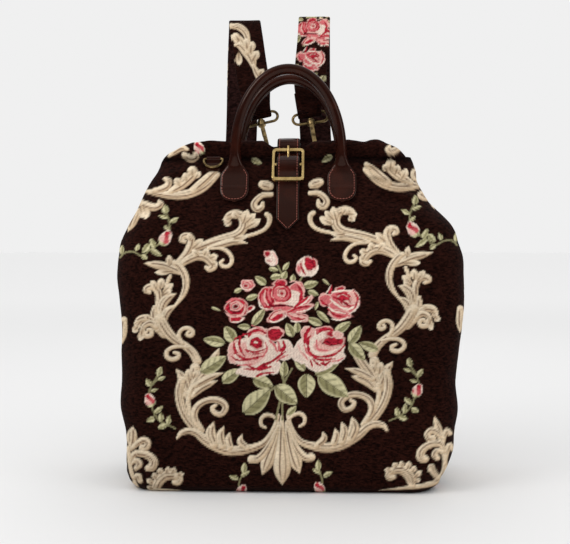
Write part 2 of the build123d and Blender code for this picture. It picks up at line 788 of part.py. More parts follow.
def make_eye(plane):
    """Oval wire eye that the strap goes through, with the swivel's barrel on its lower wire."""
    half = eye_inside / 2 + eye_wire / 2 - eye_height / 2
    profile = Plane(plane.origin, x_dir=plane.x_dir, z_dir=-plane.y_dir)
    with BuildPart() as eye:
        for height in (0, eye_height):
            with BuildSketch(Plane(profile.from_local_coords((-half, height, 0)), z_dir=plane.x_dir)):
                Circle(eye_wire / 2)
            extrude(amount=2 * half)
        for side in (-1, 1):
            bend = profile.from_local_coords((side * half, eye_height / 2, 0))
            with BuildSketch(Plane(profile.from_local_coords((side * half, 0, 0)), z_dir=plane.x_dir)):
                Circle(eye_wire / 2)
            revolve(axis=Axis(bend, profile.z_dir * side), revolution_arc=180)
        with BuildSketch(plane.offset(-swivel_barrel_height / 2)):
            Circle(swivel_barrel / 2)
        extrude(amount=swivel_barrel_height)
        with BuildSketch(plane.offset(-swivel_barrel_height / 2)):
            Circle(swivel_post / 2 + running_gap)
        extrude(amount=swivel_barrel_height, mode=Mode.SUBTRACT)
    return eye.part


def make_shoulder_strap(side, plane):
    """Flat strap: a sewn loop on the eye, up to the fold, then down behind the bag to the base seam."""
    loop_middle = plane.from_local_coords((0, 0, eye_height))
    loop_out = eye_wire / 2 + seat_gap + shoulder_loop_wall
    middles = [loop_middle + plane.z_dir * loop_out]
    middles += [Vector(x * shoulder_base_x, y * shoulder_reach, z * shoulder_top[side])
                for x, y, z in shoulder_shares[side]]
    count = len(middles)
    with BuildPart() as strap:
        for index, middle in enumerate(middles):
            along = middles[min(index + 1, count - 1)] - middles[max(index - 1, 0)]
            across = plane.x_dir if index == 0 else Vector(1, 0, 0)
            width = shoulder_end_width if index == 0 else shoulder_width
            along = along.normalized()
            across = (across - along * across.dot(along)).normalized()
            with BuildSketch(Plane(middle, x_dir=across, z_dir=along)):
                Rectangle(width, shoulder_thick)
        loft(ruled=True)
        profile = Plane(loop_middle, x_dir=plane.y_dir, z_dir=plane.x_dir)
        with BuildSketch(profile):
            Circle(loop_out)
            with Locations((0, loop_out)):
                Rectangle(loop_out, loop_out)
            Circle(eye_wire / 2 + seat_gap, mode=Mode.SUBTRACT)
        extrude(amount=shoulder_end_width / 2, both=True)
    return strap.part


pieces = [
    front_panel, back_panel, left_gusset, right_gusset, base_panel, base_board,
    front_frame, rear_frame, frame_hinge_pins, front_frame_sleeve, rear_frame_sleeve,
    front_handle, rear_handle,
    closing_strap, buckle_frame, buckle_chape, buckle_prong,
    front_ring_tab, front_ring, rear_ring_tab, rear_ring,
]
parts = [piece.part for piece in pieces]

for side in ("left", "right"):
    hook_plane = hook_frame(side)
    ring_seat = strap_ring_seat(side)
    bar = strap_ring_bar(side)
    made = {
        "strap_tab": make_ring_tab(ring_seat),
        "strap_ring": make_ring(turned_ring_plane(bar, ring_seat.x_dir, strap_ring_up)),
        "snap_eye": make_eye(hook_plane),
        "snap_hook": make_hook(hook_plane),
        "snap_gate": make_gate(hook_plane),
        "gate_pin": make_gate_pin(hook_plane),
        "shoulder_strap": make_shoulder_strap(side, hook_plane),
    }
    for name, part in made.items():
        part.label = f"{side}_{name}"
        parts.append(part)

os.makedirs("parts", exist_ok=True)
for part in parts:
    export_step(part, f"parts/{part.label}.step")
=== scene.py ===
"""Looks of a tapestry carpet-bag backpack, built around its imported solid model."""

from __future__ import annotations

import logging
import math
from dataclasses import dataclass
from enum import Enum

import bpy
import numpy as np
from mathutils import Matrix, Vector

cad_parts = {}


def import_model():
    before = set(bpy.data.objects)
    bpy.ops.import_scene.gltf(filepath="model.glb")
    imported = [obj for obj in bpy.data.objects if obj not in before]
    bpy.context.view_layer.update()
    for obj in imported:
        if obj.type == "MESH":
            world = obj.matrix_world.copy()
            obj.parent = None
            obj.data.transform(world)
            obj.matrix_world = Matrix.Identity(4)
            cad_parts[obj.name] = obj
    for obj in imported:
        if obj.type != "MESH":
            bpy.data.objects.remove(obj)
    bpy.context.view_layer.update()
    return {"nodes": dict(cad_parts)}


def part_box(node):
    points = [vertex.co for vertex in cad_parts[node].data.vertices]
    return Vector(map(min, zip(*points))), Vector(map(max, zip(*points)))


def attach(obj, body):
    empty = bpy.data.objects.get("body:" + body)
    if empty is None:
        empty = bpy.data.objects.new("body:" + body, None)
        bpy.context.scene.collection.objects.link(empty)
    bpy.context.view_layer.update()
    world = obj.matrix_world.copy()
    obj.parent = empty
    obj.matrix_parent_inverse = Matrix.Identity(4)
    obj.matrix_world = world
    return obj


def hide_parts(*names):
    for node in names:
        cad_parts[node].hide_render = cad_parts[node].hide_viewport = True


LOG = logging.getLogger("carpet_bag")
MM = 0.001
CLOUD_CELLS = 64
SCROLL_BOLDNESS = 1.15
SPRAY_BOLDNESS = 1.65
# Middle of the pattern in picture units, its lean away from level, and the tilt of its two halves
PATTERN_MIDDLE: tuple[float, float] = (282.5, 430)
# Light on the scrolls from the upper left, across and down
PATTERN_LIGHT: tuple[float, float] = (0.45, 0.9)
PATTERN_LEAN = 0.035
PATTERN_TILT = 0.036
# Painted shade in the crease under the mouth's roll, and a paler line along its top that is painted highlight
# and wear: height, half width and strength
CREASE_SHADE: tuple[float, float, float] = (0.3585, 0.0036, 0.7)
TOP_HIGHLIGHT_AND_WEAR: tuple[float, float, float] = (0.3825, 0.0042, 0.5)
# Stitches: pitch, then half length, half width and half height
TAB_STITCH: tuple[float, tuple[float, float, float]] = (0.0031, (0.00125, 0.00042, 0.00042))
STRAP_STITCH: tuple[float, tuple[float, float, float]] = (0.0030, (0.0012, 0.0004, 0.0004))
Array = np.ndarray
Point = tuple[float, float]
Strokes = tuple[tuple[tuple[Point, ...], tuple[float, ...]], ...]
Lobes = tuple[tuple[Point, Point, float], ...]
Stems = tuple[tuple[tuple[Point, ...], float], ...]
Buds = tuple[tuple[Point, float, Point], ...]
Fields = tuple[tuple[Point, Point, float, str], ...]
Folds = tuple[tuple[tuple[Point, ...], float, str], ...]
Surface = tuple[Array, Array, Array]

# Woven pattern, drawn in picture units, left half and middle
SCROLL_STROKES: Strokes = (
    (((177, 264), (185.7, 255.3), (193.7, 249.2), (203.1, 245.2), (213.8, 241.2), (224.5, 238.5),
     (235.3, 235.2), (242, 229.8), (244, 223.1), (242, 216.7), (235.5, 214), (229.2, 216), (227, 220.7),
     (229.2, 223.4)), (2, 3, 3.3, 3, 3.3, 3.9, 4, 4, 4, 3.9, 3.6, 3.3, 2.9, 2)),
    (((208.5, 247.9), (220.5, 244.5), (233.9, 241.2), (247.3, 243.2)), (1.7, 3.1, 3.1, 0.4)),
    (((246, 236.2), (256.7, 233.2), (264.7, 229.1), (269, 223.1), (269.4, 217.1), (266.7, 214.4)),
     (1.5, 1.6, 1.7, 2, 2.3, 2)),
    (((178.3, 262), (185.7, 253.9), (190, 245.9), (191.3, 239.2), (187.7, 235.8), (183, 236.5),
     (181.7, 239.9), (184.6, 241.6)), (2.5, 3, 3.3, 3.1, 2.8, 2.5, 2.3, 1.7)),
    (((180.4, 264.6), (188.4, 259.3), (197.8, 255.5), (205.8, 256.9), (211.2, 262), (213.6, 266.6),
     (209.8, 269.3), (206.1, 267.3)), (2.7, 3.5, 4.2, 4.2, 3.7, 3.1, 2.4, 1.6)),
    (((211.2, 248.8), (219.2, 248.2), (225.9, 250.3), (230.6, 255.3), (231.9, 261.3), (228.6, 266),
     (223.2, 266.2), (220.5, 262.9), (222.9, 260.2)), (0.9, 1.3, 1.6, 1.7, 1.7, 1.7, 1.7, 1.5, 1.2)),
    (((181, 272.7), (172.3, 269.3), (164.3, 266.2), (154.9, 264.6), (144.2, 263)), (2, 3.5, 3.7, 3.1, 0.3)),
    (((174.3, 262.6), (179, 266), (183.7, 272.7), (186, 280.7), (185, 290.1), (181, 298.1), (175, 305.9)),
     (2.3, 2.9, 3.2, 3.1, 2.7, 2, 1.1)),
    (((170.3, 276), (168, 280.7), (165.9, 286.7)), (1.5, 1.7, 1.3)),
    (((156.9, 312.8), (158.9, 300.8), (158.3, 292.8), (154.2, 287.4), (148.9, 287.4), (146.2, 290.1),
     (149.6, 292.4)), (2, 2.8, 3.1, 3.1, 3.1, 2.7, 1.7)),
    (((160.3, 312.8), (162.9, 303.5), (168.3, 297.4), (175.7, 293.8)), (3.3, 4.2, 3.3, 0.4)),
    (((154.6, 307.5), (154.2, 315.5), (157.6, 324.9), (164.3, 332.9)), (2, 3.3, 4.2, 4.6)),
    (((162.9, 320.9), (167, 311.5), (175, 305.9)), (3.1, 3.5, 1.2)),
    (((157.6, 329.6), (152.2, 322.5), (146.9, 318.5), (140.2, 319.5), (134.6, 323.8)),
     (2.7, 3.5, 3.5, 3.1, 0.7)),
    (((156.1, 326.4), (150.4, 323.2), (144.6, 325.7), (142.7, 330.8), (145.9, 335.9), (151, 335.1),
     (151.7, 330.8), (148.2, 329.6), (146.6, 332.5)), (2.8, 2.8, 2.4, 2.3, 2.2, 2, 1.8, 1.5, 1.1)),
    (((159.9, 318.7), (163.8, 326.4), (170.2, 335.3), (177.8, 341.7), (185.5, 346.1), (192.5, 352.5),
     (197.2, 360.8)), (4.5, 4.6, 4.2, 3.6, 3.3, 3.6, 3.8)),
    (((182.3, 343.6), (179.3, 337.9), (179.7, 332.1), (184.2, 328.3), (189.9, 328.7), (192.9, 332.5),
     (190.6, 335.9), (187, 334.7), (188.3, 331.7)), (1.9, 1.8, 1.7, 1.7, 1.8, 1.9, 1.8, 1.5, 1.3)),
    (((188, 347.4), (180.4, 346.5), (172.7, 347.4), (167, 351.2), (166.6, 356.4), (171.4, 359.3),
     (177.2, 358), (178.4, 354.2), (174.6, 352.5)), (1.3, 1.5, 1.7, 1.8, 1.9, 2, 2, 1.8, 1.4)),
    (((195, 367.8), (193.8, 376.1), (191.2, 383.8), (189.3, 392.7)), (4.2, 5.4, 5.9, 5.9)),
    (((188, 391.4), (182.9, 378.7), (176.5, 369.5)), (3.2, 4, 0.5)),
    (((189.3, 392.7), (198.2, 379.9), (207.1, 368.5), (214.8, 357), (218.9, 348.7)), (2.6, 4, 4, 3.2, 0.3)),
    (((191.8, 396.5), (200.8, 388.2), (208.4, 384.2), (217, 381)), (1.9, 3.3, 2.9, 0.3)),
    (((195.7, 385.1), (209.7, 377.4), (224, 372.6)), (2.6, 3.2, 0.3)),
    (((181.6, 379.9), (179.3, 391.4), (180.4, 402.9), (184.8, 414.4), (191.8, 424.6), (198.9, 431.6)),
     (3.2, 3.7, 3.7, 3.7, 3.6, 3.2)),
    (((189.9, 391.4), (188, 401.6), (190.6, 413.1), (196.9, 424.6), (202, 430.3)), (1.9, 2, 2, 2.3, 2.2)),
    (((200.8, 428.4), (195, 419.5), (194.4, 411.8), (198.9, 404.8), (207.1, 400.4), (216.1, 399.7),
     (223.1, 402.9), (225.6, 408), (221.8, 413.8), (215.4, 413.1), (212.2, 408.3), (215.8, 405.2)),
     (2.3, 2.9, 3.1, 2.9, 2.7, 2.7, 2.7, 2.7, 2.4, 2.2, 1.9, 1.5)),
    (((177.2, 438), (181.6, 432.9), (189.3, 430.7), (196.9, 432.9), (204.6, 439.3), (214.8, 445.6),
     (227.6, 450.4), (240.3, 450.4), (253.1, 447.6), (263.3, 443.1), (270.3, 434.8), (275.4, 424.6),
     (277.9, 415.7)), (0.9, 2.3, 2.9, 3.3, 4, 4.3, 4.3, 4, 3.3, 2.7, 2.2, 1.9, 1.7)),
    (((214.2, 443.7), (210.7, 432.9), (213.8, 422)), (4.1, 4.5, 0.3)),
    (((222.4, 445.6), (220.5, 435.4), (223.5, 426.9)), (3.4, 3.4, 0.5)),
    (((230.1, 446.9), (228.2, 439.3), (229.8, 432.9)), (2.8, 2.8, 0.5)),
    (((246.7, 447.6), (240.3, 441.8), (241.8, 435.1)), (2.6, 2.9, 0.5)),
)
SCROLL_LOBES: Lobes = (
    ((243, 223.8), (247.7, 210), 3.9),
    ((245.3, 228.5), (260.3, 219.4), 3.5),
    ((237.9, 218.4), (232.6, 211.3), 3.3),
    ((231.9, 218.4), (222.8, 219.4), 2.9),
    ((230.6, 221.8), (224.5, 225.1), 2.4),
    ((246, 223.1), (255.4, 213.7), 2.9),
    ((232.6, 239.2), (248, 236.2), 2.4),
    ((192.4, 248.6), (202.9, 239.6), 3.3),
    ((191.1, 241.9), (188.4, 232.8), 2.9),
    ((199.1, 256.6), (192.4, 249.6), 3.1),
    ((203.8, 255.9), (207.9, 248.8), 3.3),
    ((209.1, 258.6), (217.6, 255.7), 3.1),
    ((211.8, 264), (217.9, 264), 2.7),
    ((169.6, 266.6), (169, 255), 2.7),
    ((173, 271.3), (155.2, 272.4), 2.8),
    ((157.6, 290.8), (151.3, 280.4), 3.1),
    ((160, 290.1), (161.9, 278), 3.5),
    ((162.3, 293.4), (172.6, 283.7), 3.1),
    ((162.9, 295.4), (171.6, 290.1), 2.4),
    ((148.2, 319.5), (146.9, 314.5), 2.7),
    ((141.5, 320.9), (134.2, 328.9), 2.9),
    ((138.3, 326.4), (132.7, 332.1), 2.9),
    ((142.7, 328.9), (139.8, 341), 2.9),
    ((189.3, 381.2), (188, 368.9), 3.3),
    ((193.1, 378.7), (197.6, 370), 2.7),
)
FLEUR_MIDDLE: Strokes = (
    (((281.8, 417), (281.9, 432), (282, 447), (282.1, 460), (282.2, 470), (282.2, 484.5)),
     (1.4, 2.8, 4.8, 6.9, 7.2, 0.3)),
)
FLEUR_STROKES: Strokes = (
    (((279, 423), (275.8, 437), (272, 449.5), (267.6, 461), (262.5, 474)), (1.5, 3, 4.6, 5.9, 0.7)),
    (((276.8, 428), (270.8, 442), (264, 453), (257, 459.2), (251.8, 459.4)), (1.3, 2.3, 2.9, 3.3, 3.6)),
    (((276.8, 419.5), (271.8, 415.6), (265.8, 415), (261.2, 419), (261.4, 425), (265.4, 427.6)),
     (1.1, 1.5, 1.8, 1.7, 1.5, 1.2)),
)
CORNER_CURLS: Strokes = (
    (((131.2, 448.8), (138.3, 442.7), (144, 439.9), (147.8, 443.1), (145.9, 447.6), (142.1, 447.6)),
     (1.7, 2.7, 2.9, 2.9, 2.9, 2.6)),
    (((129.6, 461.6), (134.4, 454.2), (142.1, 453.3), (149.7, 456.5), (153.6, 461.6), (152.3, 466.7),
     (148.7, 468)), (1.9, 2.7, 3.1, 3.3, 3.7, 3.8, 3.1)),
    (((131.9, 462.9), (136.4, 460.3), (139.5, 464.1), (136.4, 468)), (1.5, 2.2, 2.8, 2.3)),
    (((124, 320), (123.2, 332.8), (122.7, 343.2)), (2.8, 3.4, 0.4)),
)
CORNER_SPRAYS: Strokes = (
    (((154.8, 492.6), (157.4, 483.9), (163.8, 476.7), (171.9, 475), (178.7, 477.5)),
     (2.8, 4.3, 4.3, 3.8, 2.9)),
    (((177.3, 476), (180.2, 479.4), (177.9, 482.9), (174, 482.4)), (2.4, 2.4, 2.4, 1.9)),
)
CORNER_STROKES: Strokes = (
    (((131.2, 445.6), (131.9, 436.1), (132.7, 426.9)), (1.9, 4.6, 0.3)),
    *CORNER_CURLS,
    (((128.3, 447.6), (129.3, 457.8), (130.6, 468), (133.4, 476.9), (138.3, 476.2), (140.2, 481)),
     (1.5, 1.7, 1.7, 1.9, 2.8, 2.2)),
    (((134.4, 482), (138.3, 489), (144.6, 491.6)), (1.7, 1.7, 1.5)),
    *CORNER_SPRAYS,
    (((145.9, 490.7), (156.1, 490.2), (167.6, 490.4), (181.6, 490.7)), (0.9, 1.4, 1.3, 0.5)),
)
CORNER_LOBES: Lobes = (
    ((176.8, 476), (183.7, 473.7), 2.3),
    ((172, 473.4), (174.8, 467.6), 2.6),
    ((166, 473.3), (168.5, 467.2), 2.4),
    ((160.9, 475.2), (159.9, 467.9), 2.8),
    ((156.2, 479.5), (153.3, 472.9), 2.6),
    ((153.4, 484.2), (147, 478.6), 2.5),
    ((153, 488.7), (147.2, 486.7), 2),
)
# The right corner shows more of its plant: these are its own, and the rest is the left one's, moved
RIGHT_CORNER_STROKES: Strokes = (
    (((441.5, 442), (438, 429), (434.2, 416)), (1.7, 3.4, 0.3)),
    (((440.5, 440), (443, 450), (445, 462), (443.6, 472), (437.5, 481), (424, 485.6), (405, 488),
     (380, 490.2)), (1.6, 1.9, 2.1, 2.4, 2.5, 2.2, 1.5, 0.4)),
    (((441, 479), (437, 476.4), (433, 471.4), (431.2, 466.8), (429.8, 470.2)), (1.5, 2.1, 2.6, 2.5, 1.6)),
    (((442.8, 446), (443.6, 437), (446.6, 431), (450, 433.4)), (1.4, 2.2, 2.5, 2.1)),
    (((445, 464), (446.4, 453), (449.4, 445.4), (452.2, 449)), (1.4, 2.2, 2.5, 1.8)),
)
RIGHT_CURL_SHIFT = (11.5, 0.5)
RIGHT_SPRAY_SHIFT = (6.5, 2.5)
SHOULDER_STROKES: Strokes = (
    (((145.5, 191.2), (158.9, 193.4), (172.3, 195.3), (185.7, 194.5), (197.8, 190.3), (207.1, 184.3),
     (216.8, 174.9)), (1.6, 2.8, 3.5, 3.9, 3.9, 3.5, 2.7)),
    (((153.6, 190.3), (161.6, 189), (167.6, 185.6), (168.3, 180.9), (164.3, 178.5)),
     (1.7, 2.9, 3.1, 2.7, 1.1)),
    (((193.7, 189.6), (204.5, 180.3), (211.2, 174.2), (216.8, 169.8)), (3.3, 3.5, 2.8, 2)),
    (((171, 191), (180.4, 185.6), (188.4, 178.9), (193.7, 173.6)), (2.4, 4, 4.4, 4)),
    (((140.8, 203.3), (148.2, 206), (154.9, 207.3), (160.3, 204.6), (158.9, 201.2)),
     (3.1, 3.5, 3.1, 2.7, 1.3)),
    (((136.8, 212.4), (132.1, 223.1), (128.5, 230.9)), (4.2, 3.5, 0.5)),
    (((169, 156.2), (175, 151.1), (181, 147.7), (187.3, 149.2)), (1.2, 2.8, 3.1, 1.2)),
    (((184.4, 155.1), (191.1, 158.8), (195.9, 156.8), (194.8, 153.2)), (2.5, 3.2, 2.8, 1.3)),
    (((271.2, 194.5), (263.4, 195), (257.4, 199), (254, 204.4), (256.7, 209.1), (261.4, 207.3),
     (262.7, 203)), (2, 2.3, 2.5, 2.8, 2.8, 2.4, 1.5)),
    (((262.3, 184.3), (266.1, 185.4), (269.8, 186.3)), (3.3, 4.2, 3.3)),
)
SHOULDER_LOBES: Lobes = (
    ((180.4, 187), (175.7, 177.6), 3.5),
    ((187, 181.6), (184.6, 172.9), 3.6),
    ((192.4, 176.2), (192.1, 165.9), 4.2),
    ((195.1, 178.9), (199.8, 171.6), 2.7),
    ((143.5, 205.7), (146.2, 218.8), 4.2),
    ((140.2, 207), (142.6, 217.5), 3.4),
)
VINE_STEMS: Stems = (
    (((161.2, 371), (156.8, 377.4), (151, 386.3), (149.1, 396.5), (152.3, 408), (156.1, 416.9),
     (163.8, 423.3), (175.3, 428.4)), 0.57),
    (((151, 386.3), (157.4, 379.9), (163.8, 378)), 0.51),
    (((165.4, 212.4), (168.6, 219.1), (169.6, 225.8), (168.6, 233.8)), 0.6),
    (((162.9, 241.2), (156.2, 245.9), (149.6, 249.9), (142.6, 255.9), (133.5, 251.9), (125.4, 252.6),
     (120.1, 257.3)), 0.6),
    (((239, 490.3), (239.3, 482), (242.9, 473.1), (244.1, 465.4)), 0.57),
)
BOUQUET_STEMS: Stems = (
    (((282.4, 376.8), (283.7, 383.5), (279.7, 402.3), (275.7, 419.7)), 0.94),
    (((291.8, 368.8), (283.7, 384.9), (282.4, 403.6), (282.4, 419.7)), 0.8),
    (((275.7, 386.9), (270.4, 390.2)), 0.8),
    (((277.7, 265.7), (282.4, 275)), 0.67),
    (((302.5, 276.4), (298.5, 283.1)), 0.67),
)
VINE_LEAVES: Lobes = (
    ((158, 376.1), (161, 366.6), 2.9),
    ((151, 386.3), (145.7, 378.9), 2.6),
    ((158, 379.9), (164.8, 377.1), 1.9),
    ((151, 391.4), (157.7, 388.9), 1.8),
    ((154.8, 413.1), (162.5, 406.5), 2.4),
    ((154.8, 418.2), (146.6, 421.4), 2.7),
    ((161.2, 422), (160.6, 412.5), 2.6),
    ((167.6, 424.6), (169.5, 415.4), 2.6),
    ((158, 427.8), (167.6, 424.8), 2.6),
    ((165.6, 213.7), (164.8, 204.4), 3.1),
    ((167.6, 218.4), (158.9, 215.4), 1.7),
    ((170.3, 222.5), (178.3, 218), 2.3),
    ((169, 229.8), (163.6, 225.5), 1.6),
    ((154.9, 247.9), (150.6, 238.9), 2.8),
    ((149.8, 243.9), (142.2, 252.9), 2.9),
    ((150.2, 248.8), (161.6, 256.3), 2.5),
    ((141.8, 255), (147.1, 259.5), 2.3),
    ((135.9, 251), (139.1, 243.9), 2),
    ((121.4, 253.9), (122.2, 245.2), 2.3),
    ((243.5, 473.1), (244.8, 462.6), 2.8),
    ((238.4, 479.4), (229.1, 475.4), 2.3),
    ((240.9, 476.2), (249.5, 471.5), 1.8),
    ((251.3, 158.8), (261.8, 163.7), 2.9),
)
PAIRED_BUDS: Buds = (
    ((149.5, 399.7), 6.1, (146.2, 391.4)),
    ((165.9, 237.6), 7, (169.6, 231.8)),
    ((241.6, 490.7), 5.9, (244.1, 487.1)),
)
LONE_BUDS: Buds = (
    ((198.8, 147.5), 5.9, (196.4, 142.8)),
)
FLOWER_FIELDS: Fields = (
    ((283, 298.8), (20.6, 13.8), 0, "rose"), ((267.4, 298.1), (9, 12.2), 0, "red"),
    ((279.9, 283.1), (7.8, 4.2), -8, "red"), ((296.8, 290.6), (8.2, 9.2), 20, "rose"),
    ((305.5, 301.9), (9.2, 3.5), -42, "rose"), ((299.9, 309.4), (14, 4), -16, "rose"),
    ((298.6, 317.2), (10.5, 4.2), 8, "red"), ((276.1, 316), (9.8, 5.5), -28, "red"),
    ((292.4, 298.8), (9.2, 8.2), -20, "cream"), ((281.5, 293.8), (10.2, 8.2), -5, "rose"),
    ((282, 293.1), (5, 4.8), 0, "blush"), ((282, 293.5), (2.8, 2.5), 0, "red"),
    ((236.8, 307.5), (12.2, 9.5), 0, "red"), ((236.1, 318.5), (7.8, 4.2), 0, "red"),
    ((250.2, 308.5), (4.2, 3), -30, "red"), ((235.8, 306), (7.2, 5), -6, "rose"),
    ((235.5, 306.2), (3.8, 2.8), 0, "deep"), ((343, 302.8), (15.8, 13), 0, "rose"),
    ((325.2, 299.8), (7.2, 6.5), 20, "rose"), ((339.9, 289), (5.5, 3), -15, "red"),
    ((339.9, 314.4), (12, 5.2), 8, "rose"), ((353, 297.5), (6, 7.5), 0, "blush"),
    ((344.2, 300), (7.8, 5.5), 20, "red"), ((345.8, 302.8), (3.2, 2.5), 0, "blush"),
    ((255.5, 370), (18.8, 7), -6, "cream"), ((273, 366.9), (8.2, 7), -30, "cream"),
    ((236.8, 352.5), (9.8, 12.2), 0, "blush"), ((258, 332.5), (11.5, 5.5), -4, "blush"),
    ((274.9, 334), (9.2, 7.2), -10, "red"), ((283.6, 350), (10.5, 10.8), -20, "cream"),
    ((256.8, 351.9), (23.8, 16.5), 0, "cream"), ((251.8, 352.5), (15, 12.5), 0, "blush"),
    ((257, 343.8), (10.2, 8.8), 0, "cream"), ((257, 344), (7, 5.5), 0, "red"),
    ((257.5, 341), (3.8, 2), -12, "cream"), ((304.2, 350), (10.5, 15), 28, "cream"),
    ((308, 333.8), (7.8, 8), 20, "blush"), ((323, 332.5), (10.8, 6.5), -10, "rose"),
    ((318, 363.1), (14, 8.2), 6, "cream"), ((334.9, 358.1), (10.5, 5.8), -12, "cream"),
    ((325.5, 345), (20, 13), -6, "cream"), ((326.8, 346.9), (15, 9.2), -6, "blush"),
    ((333.6, 341), (12.5, 5.8), -4, "red"), ((331.1, 334), (6, 3.5), 10, "red"),
    ((338, 334.8), (5.8, 3.8), 20, "blush"), ((271.5, 258.5), (6, 8.2), -22, "cream"),
    ((267, 253.5), (3.8, 3.5), 0, "red"), ((269.5, 261.2), (2.5, 0.9), 0, "red"),
    ((307, 267), (11, 10.2), 0, "cream"), ((309.5, 263.8), (8, 7), 20, "red"),
    ((299, 268.8), (3, 5), 10, "rose"), ((247.5, 285.2), (7, 5.8), 0, "rose"),
    ((246.2, 285.8), (3.5, 2.5), 0, "red"),
)
